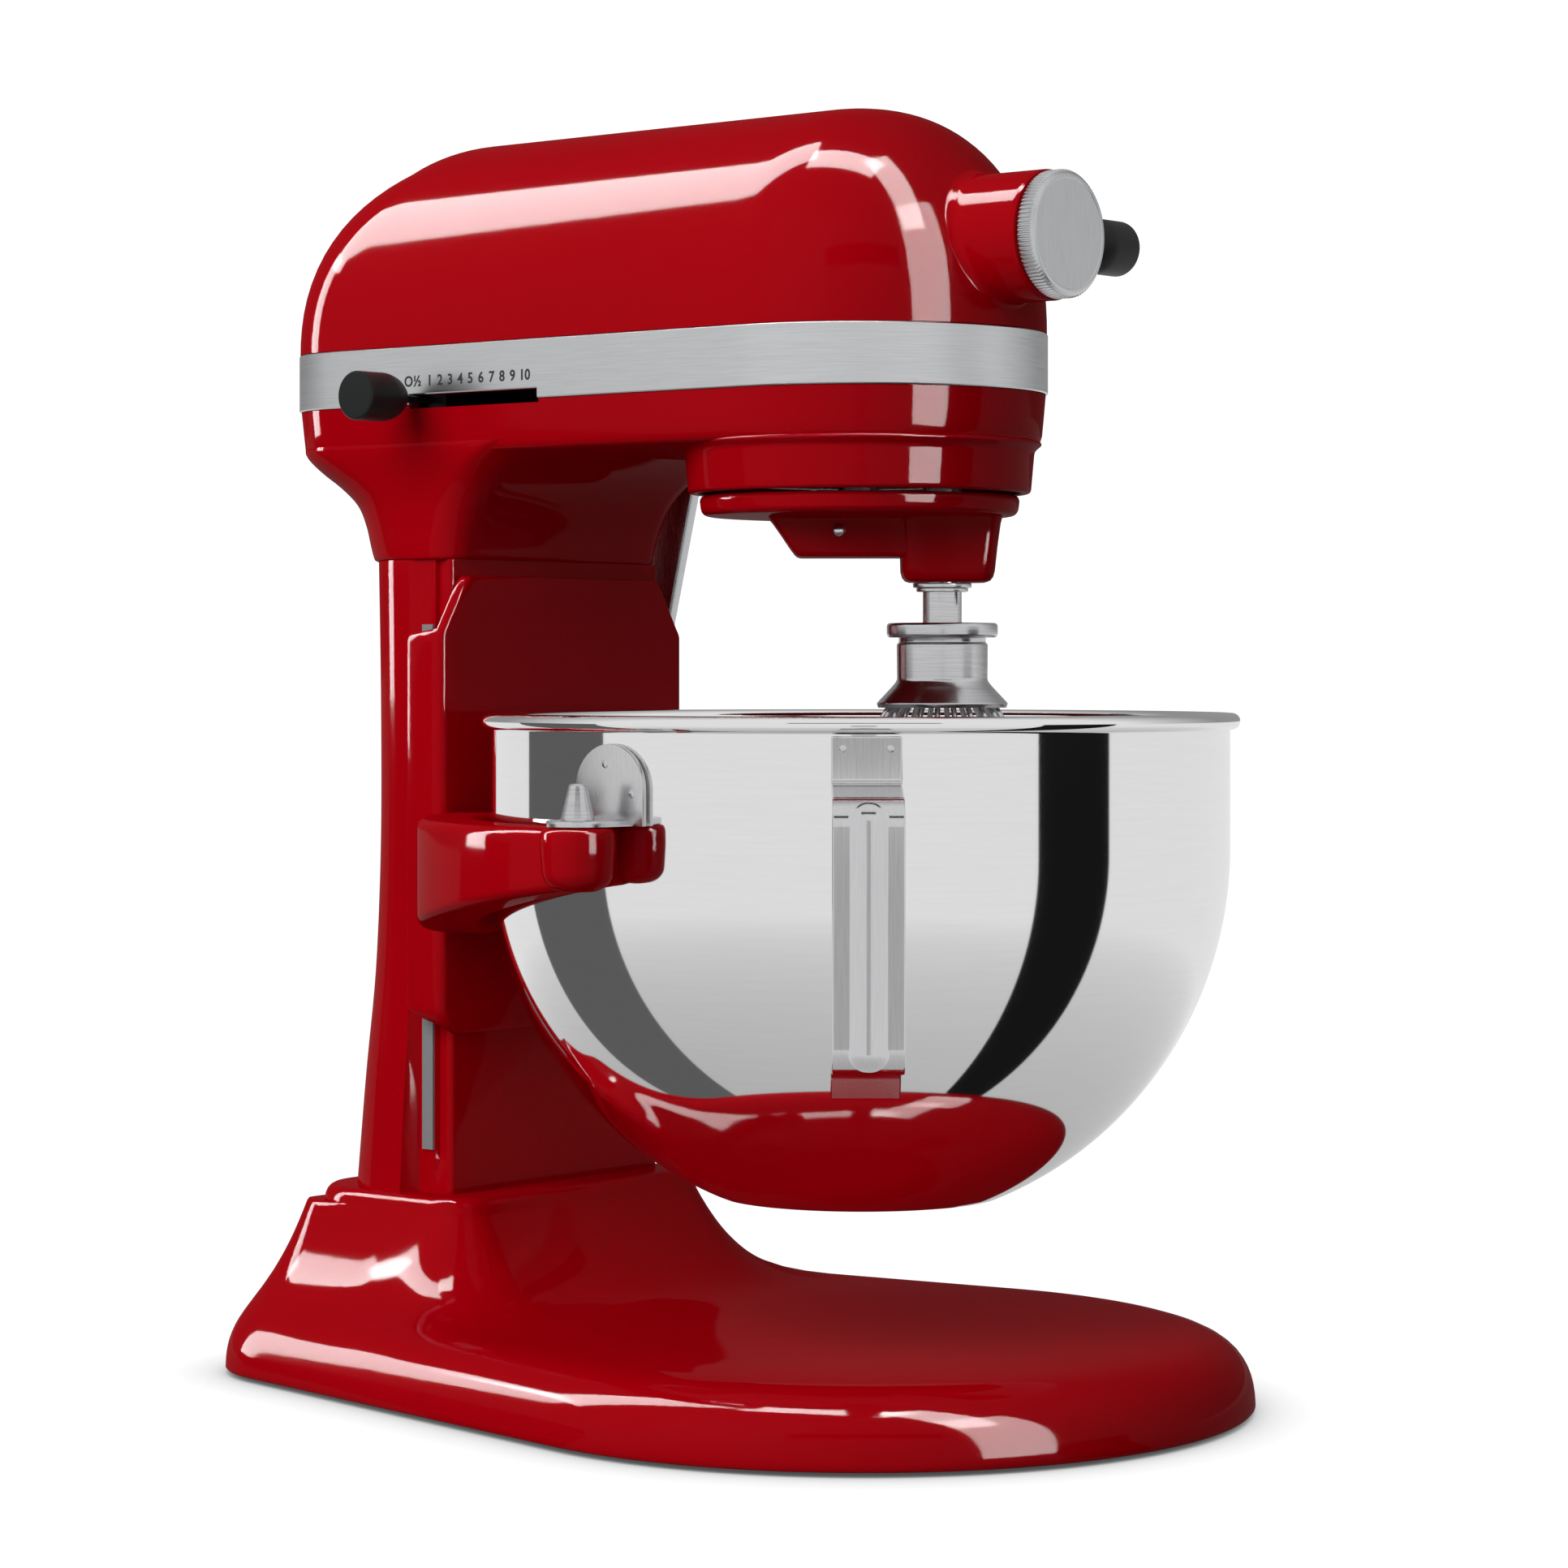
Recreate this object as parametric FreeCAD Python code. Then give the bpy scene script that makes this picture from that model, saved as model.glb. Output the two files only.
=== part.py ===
import FreeCAD, Part
import math
import os

from FreeCAD import Vector

# Bowl-lift stand mixer, in millimetres. +Z is up, the front is -Y, the lift lever is on +X.
# Everything is laid out about the bowl's axis (x = y = 0) and moved back by FOOTPRINT_MID_Y on
# export, so that the origin lies on the table under the middle of the footprint.

# Footprint and base
BASE_FRONT_R = 127.0
BASE_REAR_Y = 217.0
FOOTPRINT_MID_Y = (BASE_REAR_Y - BASE_FRONT_R) / 2
BASE_BOTTOM_Z = 1.5
BASE_TOP_Z = 24.0
BASE_WALL = 5.0
BASE_SIDE_SLOPE = math.tan(math.radians(9.6))
BASE_CORNER_R = 42.0
FLANGE_TOP_Z = 62.0
DISH_UNDER_BOWL_R = 84.0
DISH_UNDER_BOWL_DEPTH = 2.6
COLUMN_BOLTS = [(x, y) for x in (-36.0, 36.0) for y in (141.0, 172.0)]
FEET = [(-88.0, 20.0), (88.0, 20.0), (-72.0, 170.0), (72.0, 170.0), (0.0, -92.0)]

# Column and head
COLUMN_FRONT_Y = 132.3
COLUMN_HALF_W = 52.0
COLUMN_STEP_Y = 148.0
COLUMN_MID_Y = 155.0
COLUMN_WALL = 4.5
COLUMN_TOP_Z = 273.7
STRIP_Y = (140.0, 144.9)
STRIP_Z = (76.5, 252.0)
INLET_Z = 92.0
INLET_R = 6.5
NECK_SCREWS = [(x, y) for x in (-34.0, 34.0) for y in (143.0, 170.0)]
HEAD_R = 60.4
HEAD_REAR_Y = 215.8
HEAD_CORNER_R = 34.0
HEAD_TOP_Z = 417.6
HEAD_POWER = 2.25
HEAD_WALL = 3.5
HEAD_FLOOR_Z = 308.5
BAND_BOTTOM_Z = 325.2
BAND_TOP_Z = 344.5
BAND_THICK = 1.6
SPLIT_Z = 334.8

# Gearcase under the front of the head, and the planetary that turns in it
COLLAR_R = 56.0
COLLAR_BOTTOM_Z = 293.4
PLANET_OFFSET = 26.67
PLANET_ANGLE = -50.5
DISH_R = 51.7
DISH_TOP_Z = 293.0
DISH_BOTTOM_Z = 286.0
ARM_BOTTOM_Z = 273.0
SPINDLE_BOSS_Z = 265.0
PIN_ENDS = ((-6.9, -16.0, 281.3), (-6.9, -3.0, 281.3))
CENTRE_SHAFT_R = 7.0
BEATER_SHAFT_R = 6.3
RUNNING = 0.05

# Gears
RING_TEETH = 56
PLANET_TEETH = 14
PLANET_MODULE = 1.27
RING_GEAR_Z = (296.6, 306.6)
BEVEL_MODULE = 1.5
BEVEL_GEAR_TEETH = 40
BEVEL_PINION_TEETH = 16
LAY_WHEEL_TEETH = 34
MOTOR_PINION_TEETH = 10
SPUR_MODULE = 1.0
BACKLASH = 0.3

# Wire whip
WHIP_PIN_R = 1.75
WHIP_PIN_Z = 239.0
WIRE_LOOPS = 11
WIRE_R = 0.9
WIRE_TOP_R = 16.0
WIRE_TOP_Z = 226.6
WIRE_BELLY_R = 48.0
WIRE_BELLY_Z = 139.0

# Attachment hub and motor, both along Y
HUB_Z = 372.2
HUB_R = 20.5
HUB_BORE_R = 14.0
HUB_FRONT_Y = -76.9
MOTOR_Z = HUB_Z - SPUR_MODULE * (LAY_WHEEL_TEETH + MOTOR_PINION_TEETH) / 2

# Bowl and its support
BOWL_R = 119.0
BOWL_SHEET = 1.2
BOWL_BELLY_Z = 180.0
BOWL_DROP = 121.5
BOWL_BOTTOM_Z = 67.7
RIM_Z = 220.4
RIM_BEAD_R = 2.6
SUPPORT_FRONT_Y = 128.2
SUPPORT_HALF_W = 61.0
SUPPORT_FLANGE_IN = 54.2
ARM_IN_R = BOWL_R + 3.4
ARM_OUT_R = BOWL_R + 23.4
PIN_X = 135.0
PAD_R = 11.0
PAD_BOTTOM_Z = 171.0
ARM_ROOT_Z = 149.0
PAD_TOP_Z = 189.6
TAB_Z = (189.9, 191.9)
PIN_TOP_Z = 202.8

# Lift lever, its shaft along X, and the crank that carries the support
LIFT_Y = 151.5
LIFT_Z = 232.0
LIFT_SHAFT_R = 5.0
LIFT_TRAVEL = 45.0
CRANK_REST = 57.5
CRANK_R = LIFT_TRAVEL / (2 * math.sin(math.radians(CRANK_REST)))
CRANK_X = (8.0, 12.5)
ROLLER_R = 3.5
ROLLER_PLAY = 2.0
LUG_HALF_W = 6.5
LUG_Z = (195.0, 209.0)
LEVER_X = (62.5, 67.5)
LEVER_LEAN = 15.0
LEVER_LENGTH = 110.0

# Speed lever slot on the -X side
SLOT_Y = (85.5, 143.7)
SLOT_Z = (325.2, 328.4)
SPEED_ARM_Y = 141.0

X_AXIS = Vector(1, 0, 0)
Y_AXIS = Vector(0, 1, 0)
Z_AXIS = Vector(0, 0, 1)


def cyl(radius, start, end):
    """Round bar of the given radius between two points."""
    a = Vector(*start)
    b = Vector(*end)
    return Part.makeCylinder(radius, (b - a).Length, a, b - a)


def tube(outer, inner, start, end):
    """Round tube between two points."""
    return cyl(outer, start, end).cut(cyl(inner, start, end))


def box(x, y, z):
    """Box from three (low, high) pairs."""
    size = [high - low for low, high in (x, y, z)]
    return Part.makeBox(*size, Vector(x[0], y[0], z[0]))


def both_sides(shape):
    """The shape and its mirror image across the middle plane."""
    return shape, shape.mirror(Vector(0, 0, 0), X_AXIS)


def arc(a, b, c):
    return Part.Arc(a, b, c).toShape()


def line(a, b):
    return Part.makeLine(a, b)


def prism(points, direction):
    """Flat polygon pushed along a vector."""
    corners = [Vector(*p) for p in points]
    return Part.Face(Part.makePolygon(corners + corners[:1])).extrude(direction)


def lathe(points, centre=(0, 0, 0), axis=Z_AXIS):
    """Full turn of a closed (radius, height) outline about a line along axis."""
    corners = [Vector(r, 0, z) for r, z in points]
    solid = Part.Face(Part.makePolygon(corners + corners[:1])).revolve(Vector(), Z_AXIS, 360)
    solid.Placement = FreeCAD.Placement(Vector(*centre), FreeCAD.Rotation(Z_AXIS, axis))
    return solid


def bullet(z, half_w, rear_y, corner):
    """Plan outline of the head: round nose about the bowl's axis, rounded square rear."""
    k = corner * (1 - math.sqrt(0.5))
    left = Vector(-half_w, 0, z)
    right = Vector(half_w, 0, z)
    return Part.Wire([
        arc(left, Vector(0, -half_w, z), right),
        line(right, Vector(half_w, rear_y - corner, z)),
        arc(Vector(half_w, rear_y - corner, z), Vector(half_w - k, rear_y - k, z),
            Vector(half_w - corner, rear_y, z)),
        line(Vector(half_w - corner, rear_y, z), Vector(corner - half_w, rear_y, z)),
        arc(Vector(corner - half_w, rear_y, z), Vector(k - half_w, rear_y - k, z),
            Vector(-half_w, rear_y - corner, z)),
        line(Vector(-half_w, rear_y - corner, z), left),
    ])


def rounded(z, half_w, front_y, rear_y, front_r, rear_r):
    """Plan outline of a rounded rectangle, with its own front and rear corner radii."""
    edges = []
    corners = (
        (1, front_y, -1, front_r), (1, rear_y, 1, rear_r),
        (-1, rear_y, 1, rear_r), (-1, front_y, -1, front_r),
    )
    ends = []
    for side, y, way, r in corners:
        k = r * (1 - math.sqrt(0.5))
        across = Vector(side * (half_w - r), y, z)
        along = Vector(side * half_w, y - way * r, z)
        mid = Vector(side * (half_w - k), y - way * k, z)
        pair = (across, along) if side * way < 0 else (along, across)
        edges.append(arc(pair[0], mid, pair[1]))
        ends.append(pair)
    for i in range(4):
        edges.insert(2 * i + 1, line(ends[i][1], ends[(i + 1) % 4][0]))
    return Part.Wire(edges)


def column_outline(z, half_w, depth, front_y):
    """Plan outline of the column's rear body: flat front, half-ellipse rear."""
    ellipse = Part.Ellipse(Vector(0, COLUMN_MID_Y, z), half_w, depth)
    rear = Part.ArcOfEllipse(ellipse, 0, math.pi).toShape()
    right = Vector(half_w, COLUMN_MID_Y, z)
    left = Vector(-half_w, COLUMN_MID_Y, z)
    front_right = Vector(half_w, front_y, z)
    front_left = Vector(-half_w, front_y, z)
    return Part.Wire([rear, line(left, front_left), line(front_left, front_right), line(front_right, right)])


def loft(wires):
    return Part.makeLoft(wires, True, False)


def dome_half_width(z, half_w, top_z):
    """Half width of the head at a height: a superellipse from the band's top to the crown."""
    share = (z - BAND_TOP_Z) / (top_z - BAND_TOP_Z)
    return half_w * (1 - share ** HEAD_POWER) ** (1 / HEAD_POWER)


# ---------------------------------------------------------------- base and column


def base_outline(z, inset):
    """Footprint: arc about the bowl's axis, sides closing towards the rear, rounded rear corners."""
    r = BASE_FRONT_R - inset
    rear = BASE_REAR_Y - inset
    corner = BASE_CORNER_R - inset
    start = 5.0

    def side_x(y):
        return r - (y - start) * BASE_SIDE_SLOPE

    edges = [arc(Vector(-r, start, z), Vector(0, -r, z), Vector(r, start, z))]
    y1 = rear - corner
    x1 = side_x(y1)
    edges.append(line(Vector(r, start, z), Vector(x1, y1, z)))
    mid = Vector(x1 - corner * 0.36, rear - corner * 0.26, z)
    x2 = x1 - corner - 6.0
    edges.append(arc(Vector(x1, y1, z), mid, Vector(x2, rear, z)))
    edges.append(line(Vector(x2, rear, z), Vector(-x2, rear, z)))
    edges.append(arc(Vector(-x2, rear, z), Vector(-mid.x, mid.y, z), Vector(-x1, y1, z)))
    edges.append(line(Vector(-x1, y1, z), Vector(-r, start, z)))
    return Part.Wire(edges)


def base_body(inset, top_z, flange_z):
    """Plate with a rounded upper edge, and the concave pedestal that rises to the column."""
    height = top_z - BASE_BOTTOM_Z
    drop = 13.0
    plate = loft([
        base_outline(BASE_BOTTOM_Z, inset + 0.6),
        base_outline(BASE_BOTTOM_Z + height * 0.22, inset),
        base_outline(BASE_BOTTOM_Z + height * 0.48, inset + 1.4),
        base_outline(BASE_BOTTOM_Z + height * 0.74, inset + 5.0),
        base_outline(BASE_BOTTOM_Z + height * 0.93, inset + drop),
        base_outline(top_z, inset + drop + 9.0),
    ])
    rise = flange_z - top_z + 4.0
    steps = (
        (0.0, 96.0, 76.0, 205.0), (0.16, 80.0, 92.0, 201.5), (0.42, 69.0, 107.0, 199.0),
        (0.72, 64.0, 115.5, 197.6), (1.0, 62.0, 118.5, 197.0),
    )
    pedestal = loft([
        rounded(top_z - 4.0 + share * rise, half_w - inset, front + inset, rear - inset, 14.0, 26.0)
        for share, half_w, front, rear in steps
    ])
    return plate.fuse(pedestal)


def make_base():
    """Casting, hollow from below, with a shallow dish in its top under the bowl."""
    body = base_body(0.0, BASE_TOP_Z, FLANGE_TOP_Z)
    inside = base_body(BASE_WALL, BASE_TOP_Z - BASE_WALL, FLANGE_TOP_Z - 8.0)
    depth = DISH_UNDER_BOWL_DEPTH
    ball_r = (DISH_UNDER_BOWL_R ** 2 + depth ** 2) / (2 * depth)
    ball = Part.makeSphere(ball_r, Vector(0, 0, BASE_TOP_Z + ball_r - depth))
    dish = ball.common(cyl(DISH_UNDER_BOWL_R + 1.0, (0, 0, BASE_TOP_Z - 5.0), (0, 0, BASE_TOP_Z + 1.0)))
    body = body.cut(inside).cut(dish)
    for x, y in COLUMN_BOLTS:
        body = body.cut(cyl(3.3, (x, y, 40.0), (x, y, 80.0)))
    return body


def make_base_plate():
    """Steel sheet that closes the underside of the base, with a hole for each foot."""
    plate = Part.Face(base_outline(2.6, BASE_WALL + 1.2)).extrude(Vector(0, 0, 1.2))
    for x, y in FEET:
        plate = plate.cut(cyl(4.0, (x, y, 0.0), (x, y, 5.0)))
    return plate


def make_feet():
    """Rubber feet, each with a stem pressed through the base plate."""
    feet = []
    for x, y in FEET:
        pad = lathe([(0, 0), (8.0, 0), (9.0, 1.0), (9.0, 2.6), (4.0, 2.6), (4.0, 3.8), (5.2, 4.6), (0, 6.0)],
                    (x, y, 0))
        feet.append(pad)
    return feet


def column_body(inset, low_z, high_z):
    """Rear body that flares towards the base, and the straight front block the support slides on."""
    stations = (
        (low_z, 60.5, 43.0), (100.0, 57.2, 39.5), (135.0, 53.6, 35.8), (175.0, 52.0, 34.0),
        (225.0, 52.0, 34.0), (high_z, 52.6, 35.2),
    )
    rear = loft([
        column_outline(z, half_w - inset, depth - inset, COLUMN_STEP_Y + inset)
        for z, half_w, depth in stations
    ])
    front_y = COLUMN_FRONT_Y + inset
    half_w = COLUMN_HALF_W - inset
    front_w = half_w - 5.5
    front = prism([
        (-front_w, front_y, low_z), (front_w, front_y, low_z), (half_w, front_y + 5.5, low_z),
        (half_w, COLUMN_MID_Y, low_z), (-half_w, COLUMN_MID_Y, low_z), (-half_w, front_y + 5.5, low_z),
    ], Vector(0, 0, high_z - low_z))
    return rear.fuse(front)


def make_column():
    """Hollow casting with a window in front for the crank, bores for the lift shaft and bolts."""
    body = column_body(0.0, FLANGE_TOP_Z, COLUMN_TOP_Z)
    body = body.cut(column_body(COLUMN_WALL, FLANGE_TOP_Z + 8.0, COLUMN_TOP_Z - 8.0))
    window_z = (LUG_Z[0] - LIFT_TRAVEL - 2.0, LUG_Z[1] + 2.0)
    body = body.cut(box((-9.0, 9.0), (COLUMN_FRONT_Y - 1.0, COLUMN_FRONT_Y + COLUMN_WALL + 1.0), window_z))
    body = body.fuse(cyl(10.5, (18.0, LIFT_Y, LIFT_Z), (50.0, LIFT_Y, LIFT_Z)))
    body = body.cut(cyl(6.5, (17.0, LIFT_Y, LIFT_Z), (60.0, LIFT_Y, LIFT_Z)))
    for x, y in COLUMN_BOLTS:
        body = body.cut(cyl(3.0, (x, y, FLANGE_TOP_Z - 1), (x, y, FLANGE_TOP_Z + 9)))
    for x, y in NECK_SCREWS:
        body = body.cut(cyl(2.5, (x, y, COLUMN_TOP_Z - 9), (x, y, COLUMN_TOP_Z + 1)))
    for low in (True, False):
        z = FLANGE_TOP_Z if low else COLUMN_TOP_Z - 8.0
        body = body.cut(cyl(10.0, (0, 158.0, z - 1), (0, 158.0, z + 9)))
    body = body.cut(cyl(INLET_R, (0, 180.0, INLET_Z), (0, 205.0, INLET_Z)))
    for strip in both_sides(box((-COLUMN_HALF_W - 1, -COLUMN_HALF_W + 1.5), STRIP_Y, STRIP_Z)):
        body = body.cut(strip)
    return body


def make_guide_strips():
    """Steel strips let into both sides of the column, on which the bowl support slides."""
    low = COLUMN_HALF_W - 1.5
    return both_sides(box((low, COLUMN_HALF_W + 1.0), STRIP_Y, STRIP_Z))


def make_bolts(places, radius, low_z, high_z, head_r, head_h, head_up):
    """Screws with a round head and a hexagon recess, one per place."""
    screws = []
    for x, y in places:
        base_z = high_z if head_up else low_z - head_h
        screw = cyl(radius, (x, y, low_z), (x, y, high_z))
        screw = screw.fuse(cyl(head_r, (x, y, base_z), (x, y, base_z + head_h)))
        recess = head_r * 0.5
        hexagon = [(x + recess * math.cos(math.radians(60 * i)), y + recess * math.sin(math.radians(60 * i)))
                   for i in range(6)]
        floor_z = base_z + head_h * 0.5 if head_up else base_z - 0.1
        screw = screw.cut(prism([(px, py, floor_z) for px, py in hexagon], Vector(0, 0, head_h * 0.5 + 0.1)))
        screws.append(screw)
    return screws


def make_inlet_bushing():
    """Moulded bushing where the mains lead enters the rear of the column."""
    return lathe([(4.0, -8.0), (INLET_R, -8.0), (INLET_R, 9.0), (9.0, 9.0), (8.2, 12.0), (4.0, 12.0)],
                 (0, 188.6, INLET_Z), Y_AXIS)


# ---------------------------------------------------------------- head


def dome(inset, low_z, top_z):
    """Upper half of the head, from a straight skirt to the crown."""
    half_w = HEAD_R - inset
    rear = HEAD_REAR_Y - inset
    wires = [bullet(low_z, half_w, rear, HEAD_CORNER_R - inset)]
    for share in (0.0, 0.2, 0.4, 0.58, 0.73, 0.85, 0.93, 0.975, 0.995):
        z = BAND_TOP_Z + share * (top_z - BAND_TOP_Z)
        w = dome_half_width(z, half_w, top_z)
        pull = half_w - w
        corner = min(HEAD_CORNER_R - inset, w * 0.96)
        wires.append(bullet(z, w, rear - pull * 1.15, corner))
    return loft(wires)


def skirt(inset, low_z, high_z):
    """Straight ring-shaped land around the head."""
    wire = bullet(low_z, HEAD_R - inset, HEAD_REAR_Y - inset, HEAD_CORNER_R - inset)
    return Part.Face(wire).extrude(Vector(0, 0, high_z - low_z))


def make_upper_housing():
    """Upper cover, a shell open below, with the boss for attachments on its nose."""
    shell = dome(0.0, SPLIT_Z, HEAD_TOP_Z)
    land = skirt(-2.0, SPLIT_Z - 1.0, BAND_TOP_Z).cut(skirt(BAND_THICK, SPLIT_Z - 1.0, BAND_TOP_Z))
    shell = shell.cut(land)
    boss = cyl(HUB_R, (0, HUB_FRONT_Y, HUB_Z), (0, -36.0, HUB_Z))
    shell = shell.fuse(boss)
    shell = shell.cut(dome(HEAD_WALL + BAND_THICK, SPLIT_Z - 1.0, HEAD_TOP_Z - HEAD_WALL))
    shell = shell.fuse(cyl(16.0, (0, -60.0, HUB_Z), (0, -41.0, HUB_Z)))
    shell = shell.cut(cyl(HUB_BORE_R, (0, HUB_FRONT_Y - 1, HUB_Z), (0, -58.0, HUB_Z)))
    shell = shell.cut(cyl(11.5, (0, -60.0, HUB_Z), (0, -36.0, HUB_Z)))
    shell = shell.cut(cyl(3.1, (10.0, -66.0, HUB_Z), (HUB_R + 1.0, -66.0, HUB_Z)))
    return shell


def make_lower_housing():
    """Lower half of the head: tray, gearcase collar under the nose, and flared neck on the column."""
    tray = loft([
        bullet(HEAD_FLOOR_Z, HEAD_R - 5.4, HEAD_REAR_Y - 6.5, HEAD_CORNER_R - 6.0),
        bullet(HEAD_FLOOR_Z + 3.5, HEAD_R - 2.4, HEAD_REAR_Y - 2.8, HEAD_CORNER_R - 3.0),
        bullet(BAND_BOTTOM_Z - 6.0, HEAD_R - 1.1, HEAD_REAR_Y - 1.1, HEAD_CORNER_R - 1.0),
        bullet(BAND_BOTTOM_Z, HEAD_R - 0.4, HEAD_REAR_Y - 0.4, HEAD_CORNER_R),
    ])
    tray = tray.fuse(skirt(BAND_THICK, BAND_BOTTOM_Z - 0.5, SPLIT_Z))
    collar = cyl(COLLAR_R, (0, 0, COLLAR_BOTTOM_Z), (0, 0, HEAD_FLOOR_Z + 1.0))
    neck = loft([
        rounded(COLUMN_TOP_Z, 53.5, 131.5, 192.0, 9.0, 32.0),
        rounded(COLUMN_TOP_Z + 8.0, 53.8, 130.0, 193.0, 9.0, 32.0),
        rounded(COLUMN_TOP_Z + 20.0, 54.2, 124.0, 197.0, 10.0, 32.0),
        rounded(COLUMN_TOP_Z + 29.0, 54.6, 114.0, 203.0, 12.0, 32.0),
        rounded(HEAD_FLOOR_Z + 0.5, 55.0, 100.0, 209.2, 14.0, 28.0),
    ])
    body = tray.fuse(collar).fuse(neck)
    body = body.cut(skirt(HEAD_WALL + BAND_THICK, HEAD_FLOOR_Z + 4.0, SPLIT_Z + 1.0))
    body = body.cut(Part.Face(rounded(COLUMN_TOP_Z + 8.0, 46.0, 138.0, 185.0, 6.0, 26.0)).extrude(
        Vector(0, 0, 40.0)))
    body = body.cut(cyl(10.0, (0, 158.0, COLUMN_TOP_Z - 1), (0, 158.0, COLUMN_TOP_Z + 9)))
    body = body.cut(cyl(43.6, (0, 0, COLLAR_BOTTOM_Z - 1), (0, 0, RING_GEAR_Z[1])))
    body = body.cut(cyl(38.0, (0, 0, COLLAR_BOTTOM_Z - 1), (0, 0, HEAD_FLOOR_Z)))
    body = body.fuse(tube(15.0, 10.0, (0, 0, HEAD_FLOOR_Z), (0, 0, 326.0)))
    body = body.cut(cyl(10.0, (0, 0, HEAD_FLOOR_Z - 4), (0, 0, 330.0)))
    for x, y in NECK_SCREWS:
        body = body.cut(cyl(2.8, (x, y, COLUMN_TOP_Z - 1), (x, y, COLUMN_TOP_Z + 9)))
    slot = box((-HEAD_R - 2, -HEAD_R + 8), SLOT_Y, (SLOT_Z[0] - 1.4, SLOT_Z[1]))
    return body.cut(slot)


def make_trim_band():
    """Aluminium strip around the joint of the two housings, notched for the speed lever."""
    band = skirt(-0.3, BAND_BOTTOM_Z, BAND_TOP_Z).cut(skirt(BAND_THICK, BAND_BOTTOM_Z - 1, BAND_TOP_Z + 1))
    return band.cut(box((-HEAD_R - 2, -HEAD_R + 8), SLOT_Y, (SLOT_Z[0] - 1, SLOT_Z[1])))


# ---------------------------------------------------------------- gears


def gear_outline(teeth, pitch_r, tip_r, root_r, tip_half, root_half, z, phase):
    """Closed outline of straight-flanked teeth, one of them centred on the phase angle."""
    points = []
    for i in range(teeth):
        mid = phase + 2 * math.pi * i / teeth
        for r, half in ((root_r, -root_half), (tip_r, -tip_half), (tip_r, tip_half), (root_r, root_half)):
            a = mid + half / r
            points.append(Vector(r * math.cos(a), r * math.sin(a), z))
    return Part.makePolygon(points + points[:1])


def spur(teeth, module, low_z, high_z, phase_deg):
    """Spur gear blank with 20 degree flanks, thinned by the backlash."""
    pitch_r = teeth * module / 2
    half = math.pi * module / 4 - BACKLASH / 2
    slope = math.tan(math.radians(20))
    tip = pitch_r + 0.85 * module
    root = pitch_r - 1.2 * module
    outline = gear_outline(teeth, pitch_r, tip, root, half - 0.85 * module * slope,
                           half + 1.2 * module * slope * 0.7, low_z, math.radians(phase_deg))
    return Part.Face(outline).extrude(Vector(0, 0, high_z - low_z))


def bevel(teeth, mate, low_share, phase_deg):
    """Straight bevel gear about +Z with its apex at the origin and its large end below it."""
    pitch_r = teeth * BEVEL_MODULE / 2
    cone = math.atan2(teeth, mate)
    length = pitch_r / math.sin(cone)
    depth = pitch_r / math.tan(cone)
    half = math.pi * BEVEL_MODULE / 4 - BACKLASH
    slope = math.tan(math.radians(20))
    above = 0.7 * BEVEL_MODULE
    below = 1.25 * BEVEL_MODULE
    tip = depth * math.tan(cone + above / length)
    root = depth * math.tan(cone - below / length)
    tip_half = (half - above * slope) * tip / (pitch_r + above * math.cos(cone))
    root_half = (half + below * slope * 0.7) * root / (pitch_r - below * math.cos(cone))
    large = gear_outline(teeth, pitch_r, tip, root, tip_half, root_half, -depth, math.radians(phase_deg))
    small = large.copy()
    small.scale(low_share, Vector(0, 0, 0))
    return Part.makeLoft([large, small], True, True)


def planet_centre():
    a = math.radians(PLANET_ANGLE)
    return PLANET_OFFSET * math.cos(a), PLANET_OFFSET * math.sin(a)


def make_ring_gear():
    """Fixed internal gear pressed into the collar: a ring less the shape of its tooth spaces."""
    low, high = RING_GEAR_Z
    pitch_r = RING_TEETH * PLANET_MODULE / 2
    slope = math.tan(math.radians(20))
    half = math.pi * PLANET_MODULE / 4 + BACKLASH / 2
    outer = pitch_r + 1.25 * PLANET_MODULE
    inner = pitch_r - 0.8 * PLANET_MODULE
    spaces = gear_outline(RING_TEETH, pitch_r, outer, inner, half - 1.25 * PLANET_MODULE * slope * 0.7,
                          half + 0.8 * PLANET_MODULE * slope, low, math.radians(PLANET_ANGLE))
    return cyl(43.6, (0, 0, low), (0, 0, high)).cut(Part.Face(spaces).extrude(Vector(0, 0, high - low)))


def make_planet_pinion():
    x, y = planet_centre()
    gear = spur(PLANET_TEETH, PLANET_MODULE, RING_GEAR_Z[0] + 0.4, RING_GEAR_Z[1] - 0.4, PLANET_ANGLE)
    gear.translate(Vector(x, y, 0))
    return gear.cut(cyl(BEATER_SHAFT_R, (x, y, 290), (x, y, 310)))


def make_centre_bevel_gear():
    """Large bevel gear on the centre shaft, driven from behind and driving the hub in front."""
    gear = bevel(BEVEL_GEAR_TEETH, BEVEL_PINION_TEETH, 0.72, 90 + 180 / BEVEL_GEAR_TEETH)
    gear.translate(Vector(0, 0, HUB_Z))
    rim_z = HUB_Z - BEVEL_PINION_TEETH * BEVEL_MODULE / 2
    gear = gear.fuse(cyl(25.0, (0, 0, rim_z - 4.0), (0, 0, rim_z + 0.01)))
    gear = gear.fuse(cyl(12.0, (0, 0, rim_z - 12.0), (0, 0, rim_z)))
    return gear.cut(cyl(CENTRE_SHAFT_R, (0, 0, rim_z - 20.0), (0, 0, HUB_Z)))


def bevel_pinion(forwards):
    """Small bevel gear on the hub shaft (forwards) or on the layshaft."""
    gear = bevel(BEVEL_PINION_TEETH, BEVEL_GEAR_TEETH, 0.76, 90)
    gear.rotate(Vector(), X_AXIS, -90 if forwards else 90)
    gear.translate(Vector(0, 0, HUB_Z))
    return gear


def make_layshaft():
    return cyl(5.0, (0, 24.0, HUB_Z), (0, 58.0, HUB_Z))


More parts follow.
